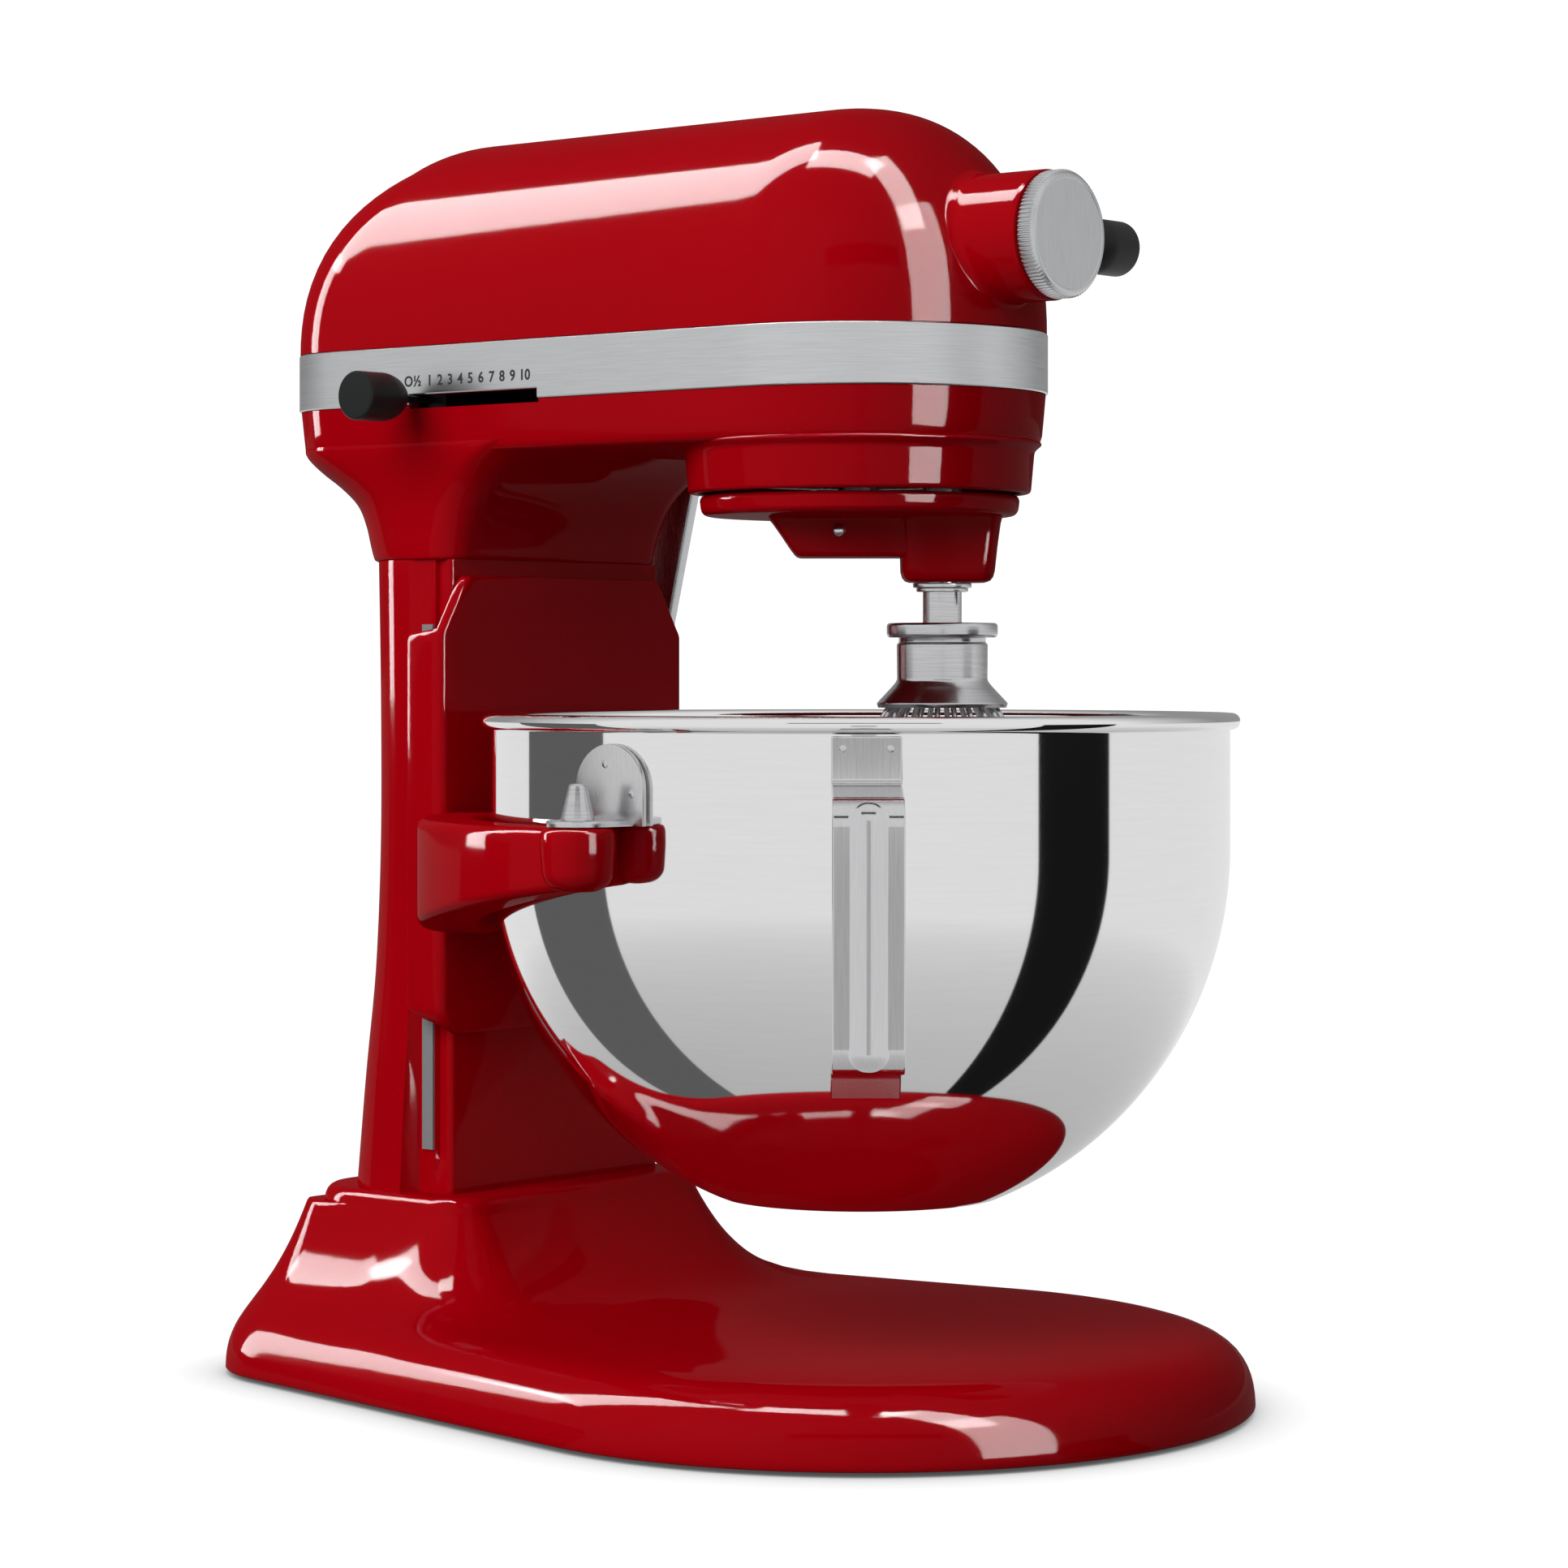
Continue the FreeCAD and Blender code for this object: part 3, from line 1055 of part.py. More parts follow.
def parts():
    """Every sub-part by name. A value is one solid or a group of separate solids."""
    return {
        "base": make_base(),
        "base_plate": make_base_plate(),
        "feet": make_feet(),
        "column": make_column(),
        "column_bolts": make_bolts(COLUMN_BOLTS, 3.0, FLANGE_TOP_Z - 8.0, FLANGE_TOP_Z + 8.0, 5.0, 4.0,
                                   False),
        "neck_screws": make_bolts(NECK_SCREWS, 2.5, COLUMN_TOP_Z - 8.0, COLUMN_TOP_Z + 8.0, 4.5, 3.0, True),
        "guide_strips": make_guide_strips(),
        "inlet_bushing": make_inlet_bushing(),
        "lower_housing": make_lower_housing(),
        "upper_housing": make_upper_housing(),
        "trim_band": make_trim_band(),
        "ring_gear": make_ring_gear(),
        "centre_bushing": make_centre_bushing(),
        "centre_shaft": make_centre_shaft(),
        "centre_bevel_gear": make_centre_bevel_gear(),
        "planetary": make_planetary(),
        "planetary_pin": make_planetary_pin(),
        "beater_bushing": make_beater_bushing(),
        "planet_pinion": make_planet_pinion(),
        "beater_shaft": make_beater_shaft(),
        "beater_pin": make_beater_pin(),
        "beater_washers": make_beater_washers(),
        "whip_hub": make_whip_hub(),
        "whip_wires": make_whip_wires(),
        "layshaft": make_layshaft(),
        "lay_pinion": make_lay_pinion(),
        "lay_wheel": make_lay_wheel(),
        "motor_pinion": make_motor_pinion(),
        "motor_shaft": make_motor_shaft(),
        "armature": make_armature(),
        "commutator": make_commutator(),
        "motor_fan": make_motor_fan(),
        "stator": make_stator(),
        "motor_bells": [motor_bracket(62.0, 68.0, 1), motor_bracket(163.0, 169.0, -1)],
        "motor_bearings": [motor_bearing(61.0, 68.0), motor_bearing(163.0, 170.0)],
        "motor_brushes": make_motor_brushes(),
        "motor_cradle": make_motor_cradle(),
        "gear_bracket": make_gear_bracket(),
        "control_board": make_control_board(),
        "hub_shaft": make_hub_shaft(),
        "hub_pinion": make_hub_pinion(),
        "hub_bushing": make_hub_bushing(),
        "hub_cap": make_hub_cap(),
        "attachment_screw": make_attachment_screw(),
        "attachment_knob": make_attachment_knob(),
        "speed_arm": make_speed_arm(),
        "speed_knob": make_speed_knob(),
        "bowl": make_bowl(),
        "bowl_handle": make_bowl_handle(),
        "bowl_brackets": both_sides(bowl_bracket()),
        "bowl_latch_pin": make_latch_pin(),
        "bowl_support": make_bowl_support(),
        "locating_pins": both_sides(locating_pin()),
        "bowl_latch": make_bowl_latch(),
        "lift_shaft": make_lift_shaft(),
        "lift_bushing": make_lift_bushing(),
        "lift_crank": make_crank(),
        "crank_roller": make_crank_roller(),
        "lift_lever": make_lift_lever(),
        "lift_knob": make_lift_knob(),
    }


def main():
    os.makedirs("parts", exist_ok=True)
    for name, made in parts().items():
        shape = Part.makeCompound(list(made)) if isinstance(made, (list, tuple)) else made
        shape = shape.copy()
        shape.translate(Vector(0, -FOOTPRINT_MID_Y, 0))
        shape.exportStep("parts/" + name + ".step")


main()
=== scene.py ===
import math

import bmesh
import bpy
from mathutils import Matrix, Vector


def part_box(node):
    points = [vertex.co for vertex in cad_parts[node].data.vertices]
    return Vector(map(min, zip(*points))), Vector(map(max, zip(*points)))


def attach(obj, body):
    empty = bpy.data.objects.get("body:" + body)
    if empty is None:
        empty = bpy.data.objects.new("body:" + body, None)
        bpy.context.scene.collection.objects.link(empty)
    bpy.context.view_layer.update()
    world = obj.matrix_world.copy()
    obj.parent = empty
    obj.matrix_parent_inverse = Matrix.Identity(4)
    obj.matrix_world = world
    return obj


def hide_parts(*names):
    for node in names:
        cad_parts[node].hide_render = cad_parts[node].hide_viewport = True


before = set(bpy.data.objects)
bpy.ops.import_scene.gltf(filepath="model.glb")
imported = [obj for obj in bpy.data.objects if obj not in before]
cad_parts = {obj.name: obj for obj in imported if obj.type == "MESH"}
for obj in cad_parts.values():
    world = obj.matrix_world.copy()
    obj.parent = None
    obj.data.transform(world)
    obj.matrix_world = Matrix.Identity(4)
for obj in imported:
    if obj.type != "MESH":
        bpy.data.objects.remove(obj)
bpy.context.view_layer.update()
scene = bpy.context.scene

# ---- Camera
# A long lens at the height of the bowl, looking level at the mixer's front left corner.
# It is raised by shift alone, so upright edges stay upright.

VIEW_WAY = (0.7714, 0.6364)
camera_data = bpy.data.cameras.new("camera")
camera_data.lens = 97.56
camera_data.sensor_width = 36.0
camera_data.shift_y = -0.0729
camera = bpy.data.objects.new("camera", camera_data)
camera.location = (-1.0731, -0.8987, 0.23685)
camera.rotation_euler = (math.radians(90), 0, -math.atan2(*VIEW_WAY))
scene.collection.objects.link(camera)
scene.camera = camera
scene.view_settings.view_transform = "Standard"

# ---- Studio
# A white table that runs out to a white room, soft boxes in front, above and behind, and cloth
# screens that only polished metal shows, as upright bands and one high band.


def linear(hex_colour):
    """Linear RGBA of an sRGB hex colour."""
    shares = [int(hex_colour[i:i + 2], 16) / 255 for i in (1, 3, 5)]
    return [c / 12.92 if c <= 0.04045 else ((c + 0.055) / 1.055) ** 2.4 for c in shares] + [1.0]


WHITE = linear("#FFFFFF")


def fill(tree, node, inputs):
    """Set a node's inputs; each is a value or another node's output."""
    for name, value in inputs.items():
        if isinstance(value, bpy.types.NodeSocket):
            tree.links.new(value, node.inputs[name])
        else:
            node.inputs[name].default_value = value


def add(tree, kind, inputs, **settings):
    """Add a node with its settings and inputs."""
    node = tree.nodes.new("ShaderNode" + kind)
    for name, value in settings.items():
        setattr(node, name, value)
    fill(tree, node, inputs)
    return node


def new_material(name):
    """A material's node tree, its surface shader and its Object coordinates."""
    material = bpy.data.materials.new(name)
    material.use_nodes = True
    tree = material.node_tree
    coordinates = add(tree, "TexCoord", {}).outputs["Object"]
    return material, tree, tree.nodes["Principled BSDF"], coordinates


def mottled(tree, at, scale, detail, shade, colour):
    """Noise, and the tone that it gives between two close colours."""
    noise = add(tree, "TexNoise", {"Vector": at, "Scale": scale, "Detail": detail}).outputs["Fac"]
    tone = add(tree, "Mix", {0: noise, 6: linear(shade), 7: linear(colour)}, data_type="RGBA")
    return noise, tone.outputs[2]


world = bpy.data.worlds.new("white_room")
world.use_nodes = True
scene.world = world
air = world.node_tree
seen = add(air, "Background", {"Color": WHITE, "Strength": 1.1})
way_out = add(air, "TexCoord", {}).outputs["Generated"]
behind = add(air, "VectorMath", {0: way_out, 1: (*VIEW_WAY, 0.0)}, operation="DOT_PRODUCT")
dimmed = add(air, "MapRange", {"Value": behind.outputs["Value"], "From Min": -0.1, "From Max": 0.7,
                               "To Min": 0.84, "To Max": 0.3})
mirrored = add(air, "Background", {"Color": WHITE, "Strength": dimmed.outputs["Result"]})
lit = add(air, "Background", {"Color": WHITE, "Strength": 0.28})
rays = add(air, "LightPath", {})
soft = add(air, "MixShader", {0: rays.outputs["Is Glossy Ray"], 1: lit.outputs[0],
                              2: mirrored.outputs[0]})
room = add(air, "MixShader", {0: rays.outputs["Is Camera Ray"], 1: soft.outputs[0],
                              2: seen.outputs[0]})
air.links.new(room.outputs[0], air.nodes["World Output"].inputs["Surface"])


def stage_sheet(name, corners, material):
    """Flat stage piece from its corners, in metres."""
    bm = bmesh.new()
    bmesh.ops.contextual_create(bm, geom=[bm.verts.new(corner) for corner in corners])
    mesh = bpy.data.meshes.new(name)
    bm.to_mesh(mesh)
    bm.free()
    mesh.materials.append(material)
    sheet = bpy.data.objects.new(name, mesh)
    scene.collection.objects.link(sheet)
    return sheet


# The table's white is its own glow (emission), and ambient occlusion dims that glow into a painted
# contact shadow under the mixer.
floor_paint, floor_tree, floor_surface, floor_at = new_material("matt_white_table")
floor_tone = mottled(floor_tree, floor_at, 3.0, 2.0, "#1C1C1C", "#202020")[1]
nearby = add(floor_tree, "AmbientOcclusion", {"Distance": 0.028})
painted_contact_shadow = add(floor_tree, "MapRange", {"Value": nearby.outputs["AO"], "To Min": 0.05, "To Max": 1.06})
fill(floor_tree, floor_surface, {"Base Color": floor_tone, "Roughness": 0.9,
                                 "Specular IOR Level": 0.0, "Emission Color": WHITE,
                                 "Emission Strength": painted_contact_shadow.outputs["Result"]})
# In reflections the table is a glow painted darker towards the mixer: painted shade in the bowl's
# reflection.
floor_reach = add(floor_tree, "VectorMath", {0: floor_at}, operation="LENGTH")
painted_reflected_floor_shade = add(floor_tree, "MapRange", {"Value": floor_reach.outputs["Value"], "From Min": 0.1,
                                          "From Max": 0.65, "To Min": 0.47, "To Max": 0.82})
# Bounced light sees only a dim grey copy of the table: painted shade that keeps the undersides of the
# mixer dark.
painted_dim_bounce = add(floor_tree, "BsdfDiffuse", {"Color": linear("#8A8A8A")})
mirrored_floor = add(floor_tree, "Emission", {"Strength": painted_reflected_floor_shade.outputs["Result"]})
floor_rays = add(floor_tree, "LightPath", {})
floor_mix = add(floor_tree, "MixShader", {0: floor_rays.outputs["Is Diffuse Ray"],
                                          1: floor_surface.outputs[0], 2: painted_dim_bounce.outputs[0]})
floor_both = add(floor_tree, "MixShader", {0: floor_rays.outputs["Is Glossy Ray"],
                                           1: floor_mix.outputs[0], 2: mirrored_floor.outputs[0]})
floor_tree.links.new(floor_both.outputs[0], floor_tree.nodes["Material Output"].inputs["Surface"])
TABLE_R = 40.0


def full_circle(count):
    """Even turns right round a circle."""
    return [math.tau * i / count for i in range(count)]


stage_sheet("table", [(TABLE_R * math.cos(a), TABLE_R * math.sin(a), 0) for a in full_circle(64)],
            floor_paint)


def towards(compass, elevation):
    """Direction from the mixer, in degrees anticlockwise from +X and above the table."""
    flat = math.cos(math.radians(elevation))
    return Vector((flat * math.cos(math.radians(compass)), flat * math.sin(math.radians(compass)),
                   math.sin(math.radians(elevation))))


AXIS_Y = sum(corner.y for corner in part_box("bowl")) / 2
VIEW_COMPASS = 219.5
WALL_AWAY = 2.4
BOWL_EDGE = 0.12


def screen(name, start, end, near, grey, foot=0.0, top=0.3):
    """Cloth between two compass angles, on the table and up the wall, seen only in reflections."""
    cloth, tree = new_material(name)[:2]
    glow = add(tree, "Emission", {"Color": linear(grey)})
    tree.links.new(glow.outputs[0], tree.nodes["Material Output"].inputs["Surface"])
    ways = [towards(angle, 0) for angle in (start, end)]
    feet = [Vector((0, AXIS_Y, 0)) + towards((angle + VIEW_COMPASS) / 2, 0) * BOWL_EDGE
            for angle in (start, end)]
    table = Vector((0, 0, 0.002))
    low, high = Vector((0, 0, foot)), Vector((0, 0, top))
    (a, b), (foot_a, foot_b) = ways, feet
    wall_a, wall_b = foot_a + a * WALL_AWAY, foot_b + b * WALL_AWAY
    near_a, near_b = foot_a + a * near, foot_b + b * near
    for part, corners in (("wall", [wall_a + low, wall_b + low, wall_b + high, wall_a + high]),
                          ("table", [near_a + table, near_b + table, wall_b + table, wall_a + table])):
        sheet = stage_sheet(f"{name}_{part}", corners, cloth)
        sheet.visible_camera = False
        sheet.visible_diffuse = False
        sheet.visible_shadow = False


screen("black_screen", 274.0, 300.0, 0.01, "#141414")
screen("grey_screen", 96.0, 134.0, 0.01, "#5E5E5E")
screen("pale_screen", 216.0, 223.5, 0.6, "#BCBCBC")
screen("high_black_screen", 196.0, 244.0, 2.39, "#202020", foot=1.3, top=1.7)

enamelled = bpy.data.collections.new("enamelled_castings")
LAMP_AIM = Vector((0, 0, 0.25))


def soft_box(name, compass, elevation, distance, width, height, watts, gloss_only):
    """Area light aimed at the mixer; a gloss_only one only draws highlights on the enamel."""
    data = bpy.data.lights.new(name, "AREA")
    data.shape = "RECTANGLE"
    data.size = width
    data.size_y = height
    data.energy = watts
    lamp = bpy.data.objects.new(name, data)
    way = towards(compass, elevation)
    lamp.location = LAMP_AIM + way * distance
    lamp.rotation_euler = way.to_track_quat("Z", "Y").to_euler()
    lamp.visible_camera = False
    lamp.visible_diffuse = not gloss_only
    lamp.visible_glossy = gloss_only
    if gloss_only:
        lamp.light_linking.receiver_collection = enamelled
    scene.collection.objects.link(lamp)


soft_box("key_left", 178, 28, 2.4, 1.8, 1.8, 43, False)
soft_box("front_strip", 262, 17, 1.05, 0.42, 1.3, 150, True)
soft_box("front_top_strip", 258, 58, 2.2, 0.5, 1.7, 330, True)
soft_box("top_strip", 190, 79, 2.2, 1.3, 0.5, 300, True)
soft_box("shoulder_strip", 113, 50, 2.2, 0.64, 2.0, 460, True)
soft_box("rear_strip", 108, 14, 2.2, 0.5, 1.2, 170, True)

# ---- Base
# Die-cast footing: a broad rounded plate that sweeps up in one hollow curve to the column's flange.
# It is sprayed and baked with the same red gloss enamel as every painted casting of the mixer.


def span(*nodes):
    """Box of some CAD nodes in millimetres about the bowl's upright axis."""
    lows, highs = zip(*(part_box(node) for node in nodes))
    shift = Vector((0, AXIS_Y, 0))
    low = Vector([min(corner[i] for corner in lows) for i in range(3)])
    high = Vector([max(corner[i] for corner in highs) for i in range(3)])
    return (low - shift) * 1000, (high - shift) * 1000


SEAM = 0.004


def piece(bm, name, body, slot, material, stands_for=(), crease=35):
    """Finish a mesh laid out in millimetres about the bowl's axis, and fix it to its body."""
    bmesh.ops.remove_doubles(bm, verts=bm.verts, dist=SEAM)
    bmesh.ops.recalc_face_normals(bm, faces=bm.faces)
    bmesh.ops.scale(bm, vec=(0.001, 0.001, 0.001), verts=bm.verts)
    bmesh.ops.translate(bm, vec=(0, AXIS_Y, 0), verts=bm.verts)
    for face in bm.faces:
        face.smooth = True
    for edge in bm.edges:
        edge.smooth = edge.calc_face_angle(0.0) < math.radians(crease)
    mesh = bpy.data.meshes.new(name)
    bm.to_mesh(mesh)
    bm.free()
    mesh.materials.append(material)
    made = bpy.data.objects.new(name, mesh)
    scene.collection.objects.link(made)
    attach(made, body)
    if slot == "red_enamel":
        enamelled.objects.link(made)
    if stands_for:
        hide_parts(*stands_for)


def loft(bm, outlines, first_face=True, last_face=True):
    """Carry a ring of edges through a run of outlines with the same number of points."""
    ring = bmesh.ops.create_circle(bm, segments=len(outlines[0]), radius=1.0)["verts"]
    for vert, point in zip(ring, outlines[0]):
        vert.co = point
    if first_face:
        bmesh.ops.contextual_create(bm, geom=ring)
    for outline in outlines[1:]:
        edges = [bm.edges.get((a, b)) for a, b in zip(ring, ring[1:] + ring[:1])]
        grown = bmesh.ops.extrude_edge_only(bm, edges=edges)["geom"]
        fresh = {vert for vert in grown if isinstance(vert, bmesh.types.BMVert)}
        ring = [next(edge.other_vert(vert) for edge in vert.link_edges
                     if edge.other_vert(vert) in fresh) for vert in ring]
        for vert, point in zip(ring, outline):
            vert.co = point
    if last_face:
        bmesh.ops.contextual_create(bm, geom=ring)


def arc(centre, radius, start, end, count):
    """Points on an arc, angles in degrees, without the last one."""
    turns = [math.radians(start + (end - start) * i / count) for i in range(count)]
    return [(centre[0] + radius * math.cos(a), centre[1] + radius * math.sin(a)) for a in turns]


def run(a, b, count):
    """Points on a straight line, without the last one."""
    return [(a[0] + (b[0] - a[0]) * i / count, a[1] + (b[1] - a[1]) * i / count) for i in range(count)]


def mirrored_outline(half):
    """Close a half outline that runs from the front to the rear of the middle plane."""
    return half + [(-x, y) for x, y in reversed(half[1:-1])]


def gloss_enamel(name, colour, shade):
    """Stoved enamel: deep even colour under a wet-looking skin with a faint 2 mm orange peel."""
    material, tree, surface, at = new_material(name)
    tone = mottled(tree, at, 9.0, 3.0, shade, colour)[1]
    peel = add(tree, "TexNoise", {"Vector": at, "Scale": 1 / 0.0022, "Detail": 1.0})
    relief = add(tree, "Bump", {"Height": peel.outputs["Fac"], "Strength": 0.05,
                                "Distance": 0.00006})
    fill(tree, surface, {"Base Color": tone, "Normal": relief.outputs["Normal"],
                         "Roughness": 0.5, "Specular IOR Level": 0.0, "Coat Weight": 0.08,
                         "Coat Roughness": 0.06})
    return material


red_enamel = gloss_enamel("red_gloss_enamel", "#B2000F", "#A6000C")

base_low, base_high = span("base")
FRONT_R = -base_low.y
REAR_Y = base_high.y
CORNER_R = 42.0
SIDE_TURN = math.radians(9.6)
PLATE_TOP = 24.0
FLANGE_TOP = base_high.z
FLANGE_W, FLANGE_FRONT, FLANGE_REAR = 63.0, 118.0, 197.0
FLANGE_CORNER = 13.0
FLANGE_EDGE = 5.0
RIM_REACH, RIM_CURVE = 26.0, 2.6
DISH_R, DISH_DEEP = 88.0, 3.0
corner_mid_y = REAR_Y - CORNER_R
corner_mid_x = (FRONT_R - CORNER_R - corner_mid_y * math.sin(SIDE_TURN)) / math.cos(SIDE_TURN)


def footprint(inset, z):
    """Base outline: an arc about the bowl's axis, sides that close in, rounded rear corners."""
    r = FRONT_R - inset
    c = max(CORNER_R - inset, 1.0)
    side = (r * math.cos(SIDE_TURN), r * math.sin(SIDE_TURN))
    meet = (corner_mid_x + c * math.cos(SIDE_TURN), corner_mid_y + c * math.sin(SIDE_TURN))
    rear = REAR_Y - inset
    half = arc((0, 0), r, -90, math.degrees(SIDE_TURN), 44) + run(side, meet, 20)
    half += arc((corner_mid_x, corner_mid_y), c, math.degrees(SIDE_TURN), 90, 18)
    half += run((corner_mid_x, rear), (0, rear), 12) + [(0, rear)]
    return [(x, y, z) for x, y in mirrored_outline(half)]


def flange(inset, z):
    """Top of the pedestal, matched point for point to the footprint."""
    w, front, rear = FLANGE_W - inset, FLANGE_FRONT + inset, FLANGE_REAR - inset
    small, large = max(FLANGE_CORNER - inset, 1.0), max(27.0 - inset, 1.0)
    half = run((0, front), (w - small, front), 32)
    half += arc((w - small, front + small), small, -90, 0, 12)
    half += run((w, front + small), (w, rear - large), 20)
    half += arc((w - large, rear - large), large, 0, 90, 18)
    half += run((w - large, rear), (0, rear), 12) + [(0, rear)]
    return [(x, y, z) for x, y in mirrored_outline(half)]


def inside_rim(x, y):
    """How far a point lies inside the footprint."""
    x = abs(x)
    tip = (math.cos(SIDE_TURN), math.sin(SIDE_TURN))
    side = FRONT_R - (x * tip[0] + y * tip[1])
    if math.atan2(y, x) < SIDE_TURN:
        return FRONT_R - math.hypot(x, y)
    off = (x - corner_mid_x, y - corner_mid_y)
    if off[1] > 0 and off[0] * tip[1] - off[1] * tip[0] < 0 and off[0] > 0:
        return CORNER_R - math.hypot(*off)
    return min(side, REAR_Y - y)


def outside_flange(x, y):
    """How far a point lies outside the pedestal's top."""
    mid, half = (FLANGE_REAR + FLANGE_FRONT) / 2, (FLANGE_REAR - FLANGE_FRONT) / 2
    over = (abs(x) - FLANGE_W + FLANGE_CORNER, abs(y - mid) - half + FLANGE_CORNER)
    return math.hypot(max(over[0], 0), max(over[1], 0)) + min(max(over), 0) - FLANGE_CORNER


def base_height(x, y):
    """Rounded rim, hollow sweep up to the flange, and a shallow dish under the bowl."""
    reach = 1 - min(max(inside_rim(x, y), 0.0), RIM_REACH) / RIM_REACH
    rim = (1 - reach ** RIM_CURVE) ** (1 / RIM_CURVE)
    sweep = 40.0 + 15.0 * min(max((150.0 - y) / 32.0, 0.0), 1.0)
    near = max(1 - max(outside_flange(x, y), 0.0) / sweep, 0.0)
    dish = max(1 - (math.hypot(x, y) / DISH_R) ** 2, 0.0) ** 1.5
    climb = FLANGE_TOP - FLANGE_EDGE - PLATE_TOP
    return rim * (PLATE_TOP + climb * near ** 3.3) - DISH_DEEP * dish


base_rings = [footprint(5.6, 4.3), footprint(5.6, 2.0), footprint(4.8, 1.5), footprint(0.5, 1.5)]
outer = footprint(0.0, 0.0)
inner = flange(0.0, 0.0)
for inset in (0.0, 0.08, 0.25, 0.6, 1.2, 2.1, 3.3, 4.9, 6.9, 9.3, 12.2, 15.8, 20.0, 25.0):
    ring = []
    for full, edge in zip(footprint(inset, 0.0), outer):
        room_left = max(outside_flange(edge[0], edge[1]), 0.1)
        share = min(1.0, 0.55 * room_left / 25.0)
        x = edge[0] + (full[0] - edge[0]) * share
        y = edge[1] + (full[1] - edge[1]) * share
        ring.append((x, y, max(base_height(x, y), 2.0)))
    base_rings.append(ring)
shoulder = base_rings[-1]
for step in range(1, 27):
    share = 1 - (1 - step / 26) ** 1.7
    ring = []
    for a, b in zip(shoulder, inner):
        x = a[0] + (b[0] - a[0]) * share
        y = a[1] + (b[1] - a[1]) * share
        ring.append((x, y, base_height(x, y)))
    base_rings.append(ring)
for turn in (20, 40, 60, 75, 90):
    a = math.radians(turn)
    base_rings.append(flange(4.0 * (1 - math.cos(a)), FLANGE_TOP + FLANGE_EDGE * (math.sin(a) - 1)))
base_rings.append(flange(12.0, FLANGE_TOP))
base_bm = bmesh.new()
loft(base_bm, base_rings)
piece(base_bm, "base_casting", "stand", "red_enamel", red_enamel, ["base"], crease=50)

# ---- Column
# Hollow casting bolted on the base: a rounded back that flares at the foot, and a squared front
# block with a groove down each side in which the bowl support slides. Enamelled with the base.


def eased(table, z):
    """Smooth curve through the rows of a (height, value, ...) table, read at a height."""
    i = max(k for k in range(len(table) - 1) if table[k][0] <= z or k == 0)
    low, high = table[i], table[i + 1]
    before, after = table[max(i - 1, 0)], table[min(i + 2, len(table) - 1)]
    rise = high[0] - low[0]
    t = min(max((z - low[0]) / rise, 0.0), 1.0)
    values = []
    for k in range(1, len(low)):
        start = (high[k] - before[k]) / (high[0] - before[0]) * rise
        end = (after[k] - low[k]) / (after[0] - low[0]) * rise
        values.append(low[k] * (2 * t ** 3 - 3 * t ** 2 + 1) + start * (t ** 3 - 2 * t ** 2 + t)
                      + high[k] * (3 * t ** 2 - 2 * t ** 3) + end * (t ** 3 - t ** 2))
    return values


column_low, column_high = span("column")
COLUMN_FRONT = column_low.y
COLUMN_SIDE = 52.0
COLUMN_MID_Y = 155.0
COLUMN_FLARE = [(62.0, 59.0, 44.0), (100.0, 56.6, 40.0), (135.0, 53.8, 36.0), (178.0, 52.3, 34.0),
                (225.0, 52.2, 34.0), (273.7, 52.6, 35.2)]


def column_outline(z):
    """Squared front with a groove for the guide strip, and an oval back that flares downwards."""
    w, depth = eased(COLUMN_FLARE, z)
    groove = 1.6 * min(max((z - 67.0) / 9.0, 0.0), 1.0)
    half = run((0, COLUMN_FRONT), (50.2, COLUMN_FRONT), 6)
    half += arc((50.2, COLUMN_FRONT + 1.8), 1.8, -90, 0, 6)
    half += [(COLUMN_SIDE, COLUMN_FRONT + 2.2), (COLUMN_SIDE - groove, COLUMN_FRONT + 2.8)]
    half += [(COLUMN_SIDE - groove, 139.0), (COLUMN_SIDE, 139.6), (COLUMN_SIDE, 147.0)]
    half += [(COLUMN_SIDE + (w - COLUMN_SIDE) * 0.3, 148.0), (w, 149.5), (w, 152.0)]
    half += [(w * x, COLUMN_MID_Y + depth * y) for x, y in arc((0, 0), 1.0, 0, 90, 28)]
    half += [(0, COLUMN_MID_Y + depth)]
    return [(x, y, z) for x, y in mirrored_outline(half)]


column_bm = bmesh.new()
heights = [62.0, 66.9, 69.0, 72.0, 76.0] + [80.0 + 6.0 * i for i in range(33)] + [column_high.z]
loft(column_bm, [column_outline(z) for z in heights])
piece(column_bm, "column_casting", "stand", "red_enamel", red_enamel, ["column"], crease=28)

# ---- Lower housing
# Bottom half of the motor head, cast in one with the flared neck that is screwed on the column and
# with the round gearcase collar under the nose. The speed lever comes out through a slot.

HEAD_R = 60.4
HEAD_REAR = span("trim_band")[1].y - 0.3


def head_outline(half_w, rear, corner, z, marks=(), side_steps=24):
    """Plan of the head: a round nose about the bowl's axis and a rear with rounded corners."""
    stops = [0.0] + list(marks) + [rear - corner]
    half = arc((0, 0), half_w, -90, 0, 30)
    for low, high in zip(stops, stops[1:]):
        half += run((half_w, low), (half_w, high), side_steps // (len(stops) - 1))
    half += arc((half_w - corner, rear - corner), corner, 0, 90, 16)
    half += run((half_w - corner, rear), (0, rear), 10) + [(0, rear)]
    return [(x, y, z) for x, y in mirrored_outline(half)]


